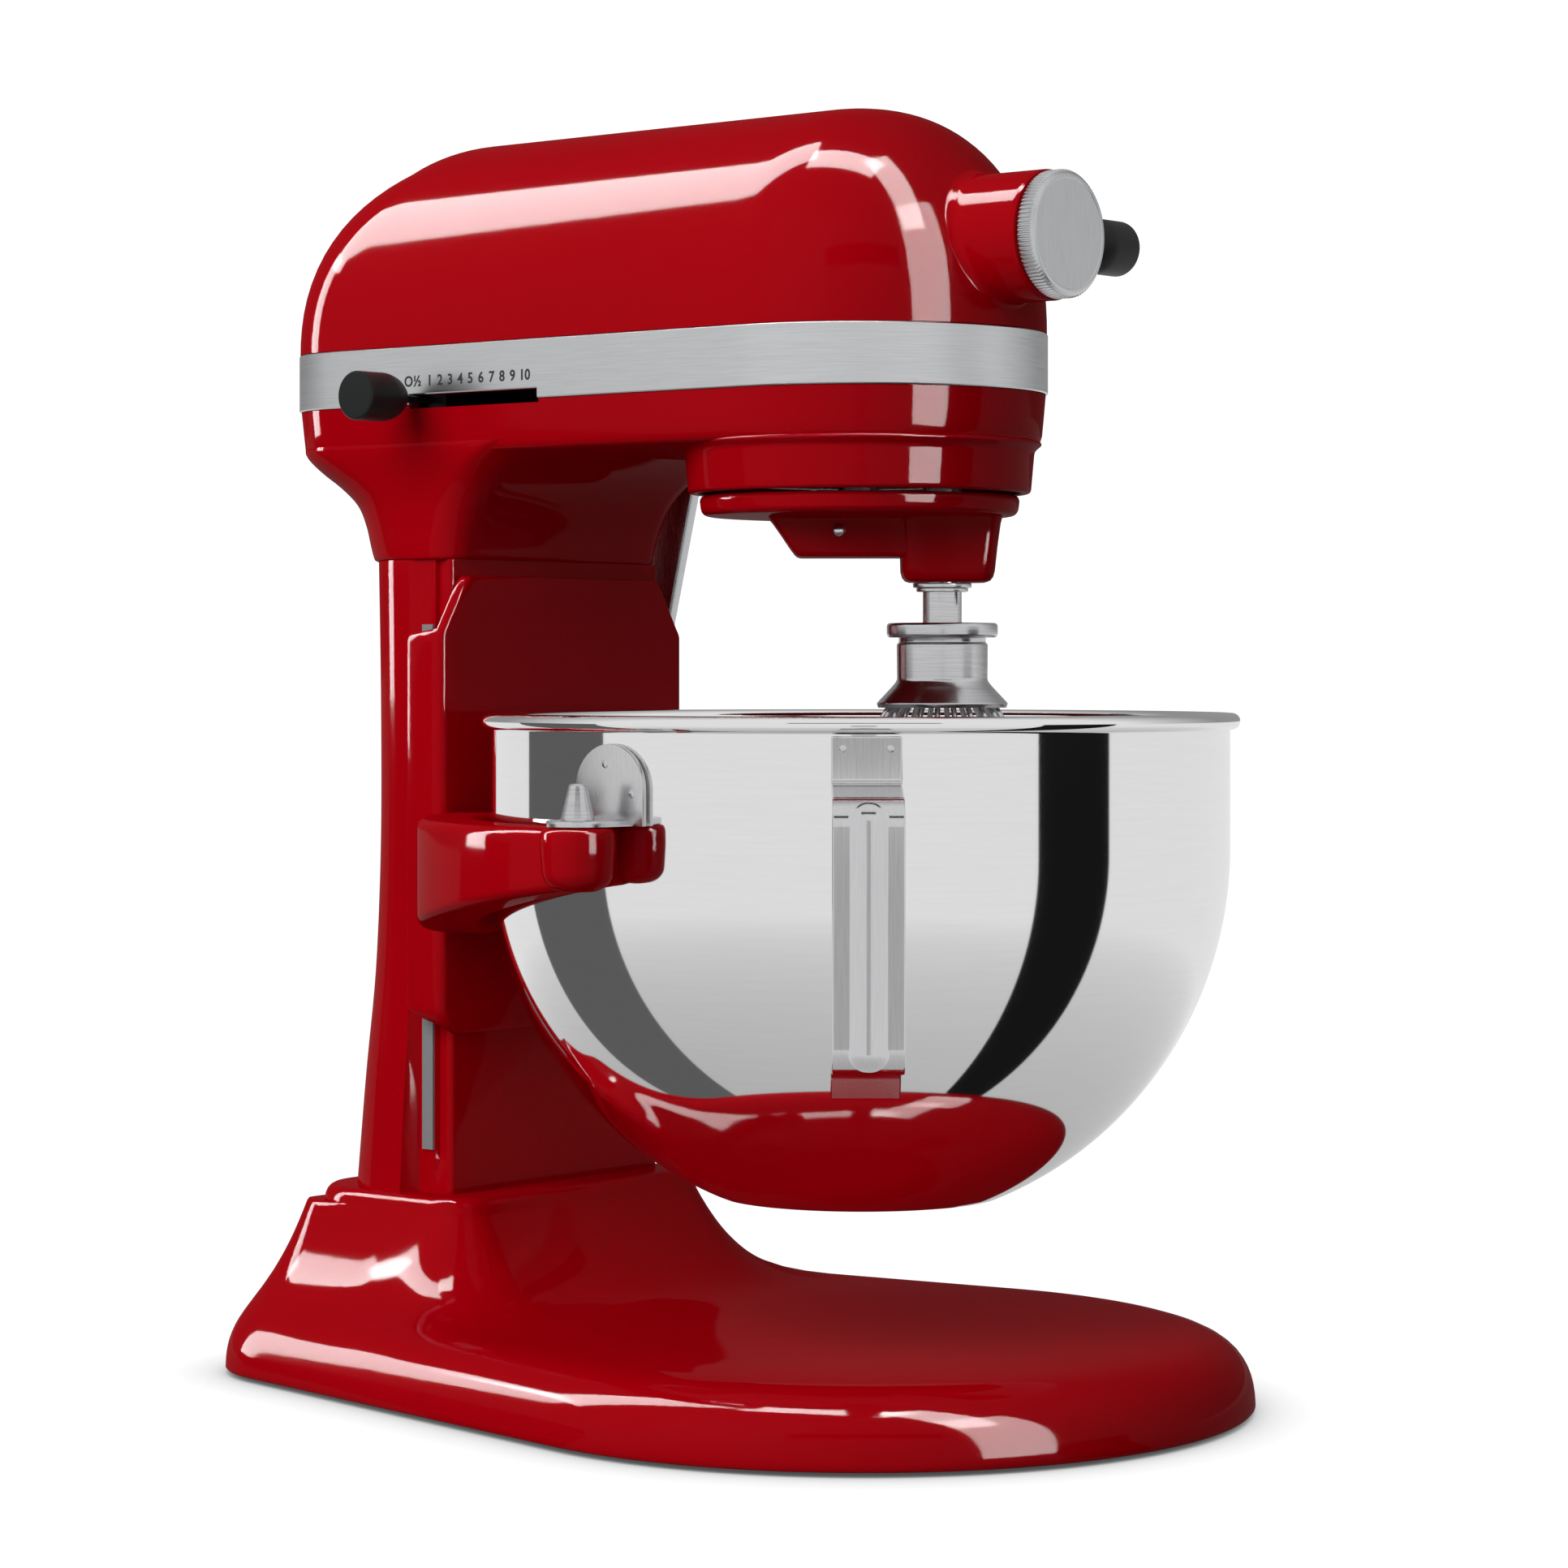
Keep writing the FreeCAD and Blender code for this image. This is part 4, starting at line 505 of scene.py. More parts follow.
SLOT_Y = (85.5, 143.7)
SLOT_Z = (323.8, 328.4)
REBATE = 1.8
WALL = 3.2
TRAY = [(308.6, 54.6, 7.0), (308.7, 56.0, 5.6), (309.2, 57.3, 4.2), (310.2, 58.3, 3.0),
        (311.8, 58.8, 2.4), (317.0, 59.3, 1.7), (323.8, 59.9, 0.7), (325.0, 60.0, 0.5)]
housing_bm = bmesh.new()
tray_rings = [head_outline(w, HEAD_REAR - back, 34.0 - back, z, SLOT_Y) for z, w, back in TRAY]
tray_rings += [head_outline(HEAD_R - REBATE, HEAD_REAR - REBATE, 34.0 - REBATE, z, SLOT_Y)
               for z in (325.1, SLOT_Z[1], 334.8)]
loft(housing_bm, tray_rings, last_face=False)
window = []
for face in housing_bm.faces:
    middle = face.calc_center_median()
    if middle.x < -50 and SLOT_Y[0] < middle.y < SLOT_Y[1] and SLOT_Z[0] < middle.z < SLOT_Z[1]:
        window.append(face)
bmesh.ops.delete(housing_bm, geom=window, context="FACES")
bmesh.ops.recalc_face_normals(housing_bm, faces=housing_bm.faces)
bmesh.ops.solidify(housing_bm, geom=housing_bm.faces, thickness=WALL)


def box_outline(w, front, rear, front_r, rear_r, z):
    """Rounded box, with its own roundings in front and behind."""
    half = run((0, front), (w - front_r, front), 10)
    half += arc((w - front_r, front + front_r), front_r, -90, 0, 12)
    half += run((w, front + front_r), (w, rear - rear_r), 10)
    half += arc((w - rear_r, rear - rear_r), rear_r, 0, 90, 22)
    half += run((w - rear_r, rear), (0, rear), 4)
    return [(x, y, z) for x, y in mirrored_outline(half + [(0, rear)])]


NECK = [(273.7, 53.0, 131.9, 191.6, 8.0, 44.0), (274.2, 53.8, 131.2, 192.4, 9.0, 44.5),
        (278.0, 54.2, 130.4, 193.6, 9.5, 44.5), (286.0, 54.6, 127.6, 195.2, 10.0, 43.5),
        (293.0, 55.2, 123.4, 197.8, 11.0, 42.0), (299.0, 56.4, 117.4, 203.0, 13.0, 39.5),
        (303.5, 57.6, 110.8, 208.2, 15.0, 37.0), (307.5, 58.7, 102.6, 212.2, 17.0, 35.2),
        (310.5, 59.3, 94.0, 214.2, 19.0, 34.2), (312.5, 59.3, 86.0, 214.4, 20.0, 34.0)]
neck_heights = [273.7, 273.9, 274.2] + [275.0 + 1.5 * i for i in range(25)] + [312.4]
loft(housing_bm, [box_outline(*eased(NECK, z), z) for z in neck_heights])


def soften(corners, steps=5):
    """Round the corners of an outline given as (radius, height, rounding)."""
    points = []
    for i, corner in enumerate(corners):
        here = Vector(corner[:2])
        if len(corner) < 3 or i in (0, len(corners) - 1):
            points.append(here)
            continue
        before = Vector(corners[i - 1][:2]) - here
        after = Vector(corners[i + 1][:2]) - here
        cut = min(corner[2], before.length * 0.49, after.length * 0.49)
        start, end = here + before.normalized() * cut, here + after.normalized() * cut
        for t in [step / steps for step in range(steps + 1)]:
            points.append(start.lerp(here, t).lerp(here.lerp(end, t), t))
    return points


def lathe(bm, corners, centre=(0, 0, 0), pointing=(0, 0, 1), segments=96):
    """Spin an outline of (radius, height, rounding) a full turn about a line."""
    known = set(bm.verts)
    line = [bm.verts.new((point[0], 0, point[1])) for point in soften(corners)]
    edges = [bm.edges.new(pair) for pair in zip(line, line[1:])]
    bmesh.ops.spin(bm, geom=line + edges, axis=(0, 0, 1), cent=(0, 0, 0), angle=math.tau,
                   steps=segments, use_merge=True)
    fresh = [vert for vert in bm.verts if vert not in known]
    turn = Vector((0, 0, 1)).rotation_difference(Vector(pointing)).to_matrix()
    bmesh.ops.rotate(bm, verts=fresh, cent=(0, 0, 0), matrix=turn)
    bmesh.ops.translate(bm, verts=fresh, vec=centre)


COLLAR_Z = 293.4
lathe(housing_bm, [(52.2, 306.0), (52.2, COLLAR_Z, 0.6), (55.2, COLLAR_Z, 1.6), (56.4, 307.0, 1.2),
                   (59.0, 309.2, 0.9), (56.0, 312.0), (52.2, 312.0), (52.2, 306.0)], segments=128)
piece(housing_bm, "lower_housing_casting", "stand", "red_enamel", red_enamel, ["lower_housing"],
      crease=40)

# ---- Upper housing
# Top cover of the motor head, one casting with the round boss of the attachment socket on its
# nose. The boss runs out of the dome in a hollow fillet, and its front edge is turned square.

upper_low, upper_high = span("upper_housing")
HEAD_TOP = upper_high.z
BAND_TOP = span("trim_band")[1].z
hub_low, hub_high = span("hub_cap")
HUB_Z = (hub_low.z + hub_high.z) / 2
HUB_R = 20.5
HUB_FRONT = upper_low.y
CROWN = 2.25


def dome_half_width(z):
    """Half width of the cover at a height: a full curve from the band to the crown."""
    share = min(max((z - BAND_TOP) / (HEAD_TOP - BAND_TOP), 0.0), 1.0)
    return HEAD_R * max(1 - share ** CROWN, 0.0) ** (1 / CROWN)


def dome_outline(z):
    """Plan of the cover at a height; its rear falls back a little faster than its sides."""
    w = dome_half_width(z)
    pull = HEAD_R - w
    return head_outline(w, HEAD_REAR - pull * 1.12, min(34.0, w * 0.96), z)


cover_bm = bmesh.new()
shares = [0.0, 0.06, 0.13, 0.2, 0.27, 0.34, 0.41, 0.48, 0.54, 0.6, 0.655, 0.705, 0.75, 0.79, 0.825,
          0.856, 0.883, 0.906, 0.926, 0.943, 0.957, 0.969, 0.979, 0.987, 0.993, 0.997, 0.9992]
cover_rings = [head_outline(HEAD_R - inset, HEAD_REAR - inset, 34.0 - inset, z)
               for inset, z in ((2.0, 335.0), (2.0, 344.6), (0.5, 344.6))]
dome_foot = BAND_TOP + 0.2
cover_rings += [dome_outline(dome_foot + share * (HEAD_TOP - dome_foot)) for share in shares]
loft(cover_bm, cover_rings, first_face=False)
mouth = []
for face in cover_bm.faces:
    middle = face.calc_center_median()
    if middle.y < -40 and math.hypot(middle.x, middle.z - HUB_Z) < 16.5:
        mouth.append(face)
bmesh.ops.delete(cover_bm, geom=mouth, context="FACES")
bmesh.ops.recalc_face_normals(cover_bm, faces=cover_bm.faces)
bmesh.ops.solidify(cover_bm, geom=cover_bm.faces, thickness=WALL)
FILLET_R = 23.6
FILLET_RUN = 3.4
FILLET_STEPS = 8


def on_dome(r, a):
    """Point of the nose at a radius and a turn about the attachment socket's axis."""
    x, z = r * math.cos(a), HUB_Z + r * math.sin(a)
    return Vector((x, -math.sqrt(max(dome_half_width(z) ** 2 - x * x, 0.0)) + 0.25, z))


fillet_rings = []
for step in range(FILLET_STEPS + 1):
    t = step / FILLET_STEPS
    ring = []
    for a in full_circle(96):
        start, bend = on_dome(FILLET_R, a), on_dome(HUB_R, a)
        end = Vector((bend.x, bend.y - FILLET_RUN, bend.z))
        ring.append(start.lerp(bend, t).lerp(bend.lerp(end, t), t))
    fillet_rings.append(ring)
fillet_rings.append([(x, y - 0.8, z) for x, y, z in fillet_rings[-1]])
BOSS_AND_BORE = [(20.5, 2.0), (20.5, 1.0), (20.2, 0.3), (19.5, 0.0), (14.0, 0.0), (14.0, 19.0),
                 (11.5, 19.0), (11.5, 36.0), (16.0, 36.0)]
bore_rings = [[(r * math.cos(a), HUB_FRONT + back, HUB_Z + r * math.sin(a)) for a in full_circle(96)]
              for r, back in BOSS_AND_BORE]
loft(cover_bm, fillet_rings + bore_rings + fillet_rings[:1], first_face=False, last_face=False)
piece(cover_bm, "upper_housing_casting", "stand", "red_enamel", red_enamel, ["upper_housing"],
      crease=40)

# ---- Trim band
# Strip of brushed anodised aluminium round the joint of the two housings, held in their rebate.
# It is notched along the speed slot; the brushing runs lengthwise.


def brushed(name, colour, shade, roughness, grain_mm, stretch=(1.0, 1.0, 1.0)):
    """Brushed metal: fine scratches drawn out along one axis, which soften its reflections."""
    material, tree, surface, at = new_material(name)
    drawn = add(tree, "Mapping", {"Vector": at, "Scale": stretch})
    scratch, tone = mottled(tree, drawn.outputs["Vector"], 1000 / grain_mm, 2.0, shade, colour)
    blur = add(tree, "MapRange", {"Value": scratch, "To Min": roughness * 0.8,
                                  "To Max": roughness * 1.2})
    relief = add(tree, "Bump", {"Height": scratch, "Strength": 0.12, "Distance": 0.00004})
    fill(tree, surface, {"Base Color": tone, "Roughness": blur.outputs["Result"],
                         "Normal": relief.outputs["Normal"], "Metallic": 1.0})
    return material


# Pale grey with level lines of brushing that smear every reflection sideways.
band_aluminium = brushed("brushed_anodised_aluminium", "#DDDEDF", "#C2C3C5", 0.3, 0.5,
                         (0.03, 0.03, 1.0))
BAND_BOTTOM = span("trim_band")[0].z
BAND_R = HEAD_R + 0.3
BAND_REAR = HEAD_REAR + 0.3


def band_outline(proud, z, notch_z=None):
    """One edge of the strip; its lower edges step up to notch_z along the speed slot."""
    first, last = SLOT_Y
    marks = (first - 0.01, first, last, last + 0.01)
    ring = head_outline(BAND_R + proud, BAND_REAR + proud, 34.3 + proud, z, marks, side_steps=25)
    if notch_z is None:
        return ring
    return [(x, y, notch_z if x < -50 and first <= y < last + 0.005 else z) for x, y, z in ring]


band_bm = bmesh.new()
BAND_SECTION = [(-1.9, BAND_TOP), (-0.35, BAND_TOP), (0.0, BAND_TOP - 0.35),
                (0.0, BAND_BOTTOM + 0.35, SLOT_Z[1] + 0.35), (-0.35, BAND_BOTTOM, SLOT_Z[1]),
                (-1.9, BAND_BOTTOM, SLOT_Z[1]), (-1.9, BAND_TOP)]
loft(band_bm, [band_outline(*row) for row in BAND_SECTION], first_face=False, last_face=False)
piece(band_bm, "trim_strip", "stand", "trim", band_aluminium, ["trim_band"], crease=25)

# ---- Speed marks
# The steps off, half and 1 to 10, figures on a dial only. Pad-printed above the slot in an ink
# that is dull and dark grey, with slightly thin places.

print_ink, ink_tree, ink_surface, ink_at = new_material("dark_grey_pad_print")
ink_tone = mottled(ink_tree, ink_at, 1 / 0.0006, 2.0, "#2A2B2D", "#3A3C3E")[1]
fill(ink_tree, ink_surface, {"Base Color": ink_tone, "Roughness": 0.6})
MARKS = [("O", 143.65), ("\u00bd", 139.5), ("1", 133.9), ("2", 129.2), ("3", 124.5), ("4", 119.9),
         ("5", 115.3), ("6", 110.5), ("7", 105.7), ("8", 101.0), ("9", 96.3), ("10", 90.9)]
MARKS_Z = 331.2
upright = Matrix.Rotation(math.radians(-90), 4, "Z") @ Matrix.Rotation(math.radians(90), 4, "X")
marks_bm = bmesh.new()
for text, y in MARKS:
    words = bpy.data.curves.new("mark", "FONT")
    words.body = text
    words.size = 4.9
    words.align_x = "CENTER"
    words.extrude = 0.02
    words.offset = 0.12
    words.resolution_u = 4
    holder = bpy.data.objects.new("mark", words)
    scene.collection.objects.link(holder)
    graph = bpy.context.evaluated_depsgraph_get()
    shape = bpy.data.meshes.new_from_object(holder.evaluated_get(graph))
    bpy.data.objects.remove(holder)
    shape.transform(Matrix.Translation((-BAND_R - 0.03, y, MARKS_Z)) @ upright)
    marks_bm.from_mesh(shape)
piece(marks_bm, "speed_marks", "stand", "trim", print_ink)

# ---- Planetary
# Cast carrier that turns under the gearcase: a shallow dish, an arm across it and the squared boss
# for the beater shaft. Enamelled; the domed pin through the arm locks it to the centre shaft.

ARM_TURN = -50.5
PLANET_TURN = Matrix.Rotation(math.radians(ARM_TURN), 3, "Z")
OFFSET = 26.67


def rounded_section(half_u, half_v, corner, steps):
    """Rounded rectangle about its middle."""
    quarter = arc((half_u - corner, half_v - corner), corner, 0, 90, steps)
    quarter += [(half_u - corner, half_v)]
    around = quarter + [(-x, y) for x, y in reversed(quarter)]
    return around + [(-x, -y) for x, y in quarter] + [(x, -y) for x, y in reversed(quarter)]


def block_outline(u0, u1, half_v, corner, z):
    """Rounded rectangle along the arm."""
    around = rounded_section((u1 - u0) / 2, half_v, corner, 7)
    return [((u0 + u1) / 2 + x, y, z) for x, y in around]


planet_bm = bmesh.new()
lathe(planet_bm, [(0, 292.6), (50.9, 292.6, 0.5), (51.6, 291.4, 0.8), (51.0, 286.4, 3.0),
                  (46.0, 286.0, 2.0), (0, 285.4)], segments=128)
ARM = [(0, 1.6), (0.12, 0.5), (0.25, 0.1), (0.5, 0), (0.8, 0), (0.93, -0.15), (0.98, -0.5), (1.0, -1.2)]
loft(planet_bm, [block_outline(-30.5 + 10.1 * t - e, 30.0 + e, 14.0 + e, 2.2, 288.0 - 15.0 * t)
                 for t, e in ARM])
BOSS = [(289.0, 11.2, 46.6, 17.6), (286.0, 12.2, 45.6, 16.8), (283.5, 12.9, 45.0, 16.2),
        (276.0, 13.2, 44.0, 15.8), (268.5, 13.4, 43.2, 15.5), (266.6, 13.9, 42.7, 15.1),
        (265.4, 14.9, 41.8, 14.2), (265.0, 16.2, 40.6, 13.0)]
loft(planet_bm, [block_outline(u0, u1, v, 5.5, z) for z, u0, u1, v in BOSS])
bmesh.ops.rotate(planet_bm, verts=planet_bm.verts, cent=(0, 0, 0), matrix=PLANET_TURN)
piece(planet_bm, "planetary_carrier", "planetary", "red_enamel", red_enamel, ["planetary"], crease=40)

# Small bright bead with a tight highlight.
pin_steel = brushed("turned_pin_steel", "#D8D8D8", "#C4C4C6", 0.2, 0.4)
pin_bm = bmesh.new()
lathe(pin_bm, [(0, 4.2), (1.1, 4.0, 0.6), (2.0, 3.0, 0.8), (2.3, 1.6, 0.5), (2.3, 0.0),
               (2.0, -0.2), (2.0, -9.0), (0, -9.0)], (-6.9, -13.6, 281.3), (0, -1, 0), segments=32)
bmesh.ops.rotate(pin_bm, verts=pin_bm.verts, cent=(0, 0, 0), matrix=PLANET_TURN)
piece(pin_bm, "planetary_lock_pin", "planetary", "steel", pin_steel, ["planetary_pin"])

# ---- Beater shaft and washers
# Ground stainless shaft with two flats that locks the whip on, under a spring retainer and a
# washer. It runs in the carrier's bushing and is held by the pinion on its upper end.

# Bright, with fine rings of turning that streak the reflections round the part.
turned_steel = brushed("turned_stainless_steel", "#D9D9DA", "#B9B9BC", 0.2, 0.5, (0.04, 0.04, 1.0))
planet_at = PLANET_TURN @ Vector((OFFSET, 0, 0))
shaft_bm = bmesh.new()
SHAFT_R = 6.3
FLAT = 5.4


def shaft_outline(z):
    """Round section, cut by the two flats below the washers."""
    flat = FLAT if z < 262.5 else SHAFT_R
    return [(SHAFT_R * math.cos(a), max(-flat, min(flat, SHAFT_R * math.sin(a))), z)
            for a in full_circle(48)]


loft(shaft_bm, [shaft_outline(z) for z in (232.0, 240.0, 250.0, 256.0, 262.0, 263.0, 285.0, 307.5)])
flat_turn = PLANET_TURN @ Matrix.Rotation(math.radians(20), 3, "Z")
bmesh.ops.rotate(shaft_bm, verts=shaft_bm.verts, cent=(0, 0, 0), matrix=flat_turn)
bmesh.ops.translate(shaft_bm, verts=shaft_bm.verts, vec=planet_at)
piece(shaft_bm, "beater_drive_shaft", "beater", "steel", turned_steel, ["beater_shaft"], crease=25)
washers_bm = bmesh.new()
for low, high, r in ((263.2, 264.7, 9.5), (261.9, 263.15, 8.4)):
    lathe(washers_bm, [(6.4, low), (r, low, 0.3), (r, high, 0.3), (6.4, high), (6.4, low)],
          planet_at, segments=64)
piece(washers_bm, "beater_washer_pair", "beater", "steel", turned_steel, ["beater_washers"])

# ---- Whip hub
# Turned stainless hub of the whip: a locking flange, a waist and a flared skirt that grips the
# wire ends. It is pushed up the shaft and turned on to its cross pin.

hub_bm = bmesh.new()
lathe(hub_bm, [(6.5, 251.9, 0.3), (17.3, 251.9, 0.5), (17.9, 251.2, 0.5), (17.9, 247.9, 0.5),
               (17.3, 247.2, 0.4), (14.2, 247.2, 0.2), (14.0, 245.6, 0.3), (14.7, 245.0, 0.3),
               (14.6, 233.4, 0.8), (16.0, 231.6, 0.8), (21.2, 226.0, 0.4), (20.6, 224.5, 0.3),
               (15.0, 227.6, 0.3), (6.5, 227.8, 0.3), (6.5, 251.9)], planet_at)
piece(hub_bm, "whip_collar", "beater", "steel", turned_steel, ["whip_hub"])

# ---- Bowl
# Deep-drawn from one stainless sheet: straight wall, round belly, flat foot and a rolled rim.
# It hangs by its two side plates on the support's pins and clips in at the back.

# Mirror polish with a trace of buffing haze: it shows the whole room, only slightly softened.
mirror_steel, mirror_tree, mirror_surface, mirror_at = new_material("mirror_polished_stainless_steel")
buffing = add(mirror_tree, "Mapping", {"Vector": mirror_at, "Scale": (0.05, 0.05, 1.0)})
swirl, mirror_tone = mottled(mirror_tree, buffing.outputs["Vector"], 1 / 0.0012, 2.0,
                             "#EBEBEB", "#F1F1F1")
haze = add(mirror_tree, "MapRange", {"Value": swirl, "To Min": 0.045, "To Max": 0.055})
fill(mirror_tree, mirror_surface, {"Base Color": mirror_tone, "Roughness": haze.outputs["Result"],
                                   "Metallic": 1.0})

bowl_low, bowl_high = span("bowl")
BOWL_R = 119.0
SHEET = 1.2
BELLY_Z, DROP = 180.0, 121.5
FOOT_Z = bowl_low.z
BEAD = 2.6
RIM_Z = bowl_high.z - BEAD


def belly_radius(z):
    """Radius of the bowl's outside at a height."""
    share = max(0.0, (BELLY_Z - z) / DROP)
    return BOWL_R * math.sqrt(max(1 - share ** 2, 0.0))


def belly_line(inset, steps=56):
    """Wall from the foot's edge up to the straight part."""
    last = math.asin(min((BELLY_Z - FOOT_Z - inset) / DROP, 1.0))
    turns = [last * (1 - i / steps) for i in range(steps + 1)]
    return [((BOWL_R - inset) * math.cos(a), BELLY_Z - DROP * math.sin(a)) for a in turns]


outside_line = [(0, FOOT_Z)] + belly_line(0.0) + [(BOWL_R, RIM_Z - 6.0), (BOWL_R, RIM_Z - 2.6)]
bead_line = arc((BOWL_R + 0.6, RIM_Z), BEAD, -100, 236, 28)
inside_line = [(BOWL_R - SHEET, RIM_Z - 2.8), (BOWL_R - SHEET, RIM_Z - 8.0)]
inside_line += belly_line(SHEET)[::-1] + [(0, FOOT_Z + SHEET)]
bowl_bm = bmesh.new()
lathe(bowl_bm, outside_line + bead_line + inside_line, segments=256)
piece(bowl_bm, "mixing_bowl", "bowl", "bowl_steel", mirror_steel, ["bowl"], crease=60)

# ---- Bowl handle
# Stainless strap bent into a grip, with a rib pressed down its front to stiffen it. Its two pads
# are spot-welded to the bowl's wall, which leaves a pair of small dots on each.

# Satin: mirror-like, but blurred along the strap by fine upright lines.
satin_steel = brushed("satin_stainless_steel", "#DADADB", "#CBCBCD", 0.12, 0.5, (1.0, 1.0, 0.04))
HANDLE_TURN = Matrix.Rotation(math.radians(ARM_TURN - 90), 3, "Z")
GRIP_R = 153.0
STRAP = 10.5
TOP_PAD = BOWL_R + 0.2
foot_pad = belly_radius(111.0) + 1.5
handle_path = soften([
    (TOP_PAD + 1.0, 217.2), (TOP_PAD + 1.0, 201.8, 3.0), (GRIP_R - 1.0, 197.6, 6.0),
    (GRIP_R - 1.0, 122.4, 6.0), (belly_radius(120.0) + 3.6, 118.6, 3.0),
    (foot_pad + 1.0, 109.6)], steps=8)
handle_bm = bmesh.new()
rows = []
for r, z in handle_path:
    rows.append([handle_bm.verts.new((r, y, z)) for y in (-STRAP, -STRAP / 2, 0, STRAP / 2, STRAP)])
starts = [handle_bm.edges.new(pair) for pair in zip(rows[0], rows[0][1:])]
for row in rows[1:]:
    edges = [handle_bm.edges.new(pair) for pair in zip(row, row[1:])]
    bmesh.ops.bridge_loops(handle_bm, edges=starts + edges)
    starts = edges
bmesh.ops.solidify(handle_bm, geom=handle_bm.faces, thickness=1.9)
bmesh.ops.recalc_face_normals(handle_bm, faces=handle_bm.faces)
sharp = [edge for edge in handle_bm.edges if edge.calc_face_angle(0) > math.radians(50)]
bmesh.ops.bevel(handle_bm, geom=sharp, offset=0.45, affect="EDGES", segments=2, profile=0.5,
                material=-1)
RIB = [(0.0, -0.5), (0.0, 0.0), (0.5, 0.12), (1.2, 0.4), (2.1, 0.8), (3.0, 1.14), (3.9, 1.38),
       (4.8, 1.5), (5.5, 1.54)]
RIB_ENDS = [(0.4, 193.4), (-0.4, 193.4), (-0.4, 127.0), (0.4, 127.0)]
rib_rings = []
for inset, out in RIB:
    around = []
    for quarter, corner in enumerate(RIB_ENDS):
        around += arc(corner, 5.6 - inset, 90 * quarter, 90 * quarter + 90, 8)
    rib_rings.append([(GRIP_R + 0.8 + out, y, z) for y, z in around])
loft(handle_bm, rib_rings)
for z, r in ((213.6, TOP_PAD + 2.9), (112.6, belly_radius(112.6) + 4.1)):
    for y in (-7.0, 7.0):
        lathe(handle_bm, [(0, 0.55), (0.7, 0.4), (1.1, 0.0), (1.1, -0.6), (0, -0.6)], (r, y, z),
              (1, 0, 0), segments=24)
bmesh.ops.rotate(handle_bm, verts=handle_bm.verts, cent=(0, 0, 0), matrix=HANDLE_TURN)
piece(handle_bm, "bowl_grip", "bowl", "bowl_steel", satin_steel, ["bowl_handle"], crease=20)

# ---- Bowl brackets
# Pressed stainless angle plates, spot-welded on either side of the bowl: a round-topped ear lies
# on the wall, and a tab with a round end drops over the support's pin.

# Dull stamped sheet, greyer and softer than the bowl behind it.
stamped_steel = brushed("stamped_stainless_steel", "#D6D6D7", "#C4C4C6", 0.24, 0.5, (1.0, 1.0, 0.15))
PIN_X = 135.0
TAB_Z = (189.9, 191.9)


def bracket(bm, side):
    """Ear and tab on one side; each outline becomes a face, which is pushed out and bevelled."""
    ear = [(-13.6, TAB_Z[0]), (-13.6, 196.0)] + arc((0, 201.0), 13.6, 180, 0, 18)
    ear += [(13.6, 201.0), (13.6, 196.0), (13.6, TAB_Z[0])]
    ear_verts = [bm.verts.new((BOWL_R + 0.25, y, z)) for y, z in ear]
    tab = [(BOWL_R + 0.4, -9.5)] + arc((PIN_X, 0), 9.5, -90, 90, 18)
    tab += [(PIN_X, 9.5), (BOWL_R + 0.4, 9.5)]
    tab_verts = [bm.verts.new((x, y, TAB_Z[0])) for x, y in tab]
    made = ear_verts + tab_verts
    for verts, push in ((ear_verts, (1.9, 0, 0)), (tab_verts, (0, 0, TAB_Z[1] - TAB_Z[0]))):
        face = bmesh.ops.contextual_create(bm, geom=verts)["faces"][0]
        grown = bmesh.ops.extrude_face_region(bm, geom=[face], use_keep_orig=True)["geom"]
        fresh = [item for item in grown if isinstance(item, bmesh.types.BMVert)]
        bmesh.ops.translate(bm, verts=fresh, vec=push)
        made += fresh
    if side < 0:
        bmesh.ops.scale(bm, verts=made, vec=(-1, 1, 1))


brackets_bm = bmesh.new()
for side in (1, -1):
    bracket(brackets_bm, side)
bmesh.ops.recalc_face_normals(brackets_bm, faces=brackets_bm.faces)
sharp = [edge for edge in brackets_bm.edges if edge.calc_face_angle(0) > math.radians(60)]
bmesh.ops.bevel(brackets_bm, geom=sharp, offset=0.4, affect="EDGES", segments=2, profile=0.5,
                material=-1)
for side in (1, -1):
    for y, z in ((-1.5 * side, 208.5), (9.0 * side, 199.5)):
        lathe(brackets_bm, [(0, 0.3), (0.9, 0.25), (1.3, 0.0), (1.3, -0.5), (0, -0.5)],
              (side * (BOWL_R + 2.15), y, z), (side, 0, 0), segments=20)
piece(brackets_bm, "bowl_hanger_plates", "bowl", "bowl_steel", stamped_steel, ["bowl_brackets"],
      crease=40)

# ---- Bowl support
# Cast yoke that slides on the column: a plate with chamfered top corners, flanges round both sides,
# and two arms about the bowl, each ending in a rounded pad under a locating pin. Red enamel.

SUPPORT_FRONT = 128.2
PLATE_BACK = 131.9
FLANGE_IN = 54.2
PLATE_SHAPE = [(115.8, 51.0, PLATE_BACK), (116.0, 53.0, PLATE_BACK), (118.5, 57.2, 133.0),
               (121.5, 60.2, 140.0), (123.5, 61.0, 143.6), (126.0, 61.0, 144.4), (246.0, 61.0, 144.4),
               (248.0, 61.0, 143.8), (249.2, 60.6, 141.6), (249.9, 60.2, 136.0),
               (250.6, 59.7, PLATE_BACK), (259.0, 54.6, PLATE_BACK), (266.4, 50.2, PLATE_BACK),
               (268.0, 48.6, PLATE_BACK), (268.2, 46.0, PLATE_BACK)]
PLATE_LIPS = [1.2, 0.5] + [0.0] * (len(PLATE_SHAPE) - 4) + [0.5, 1.2]


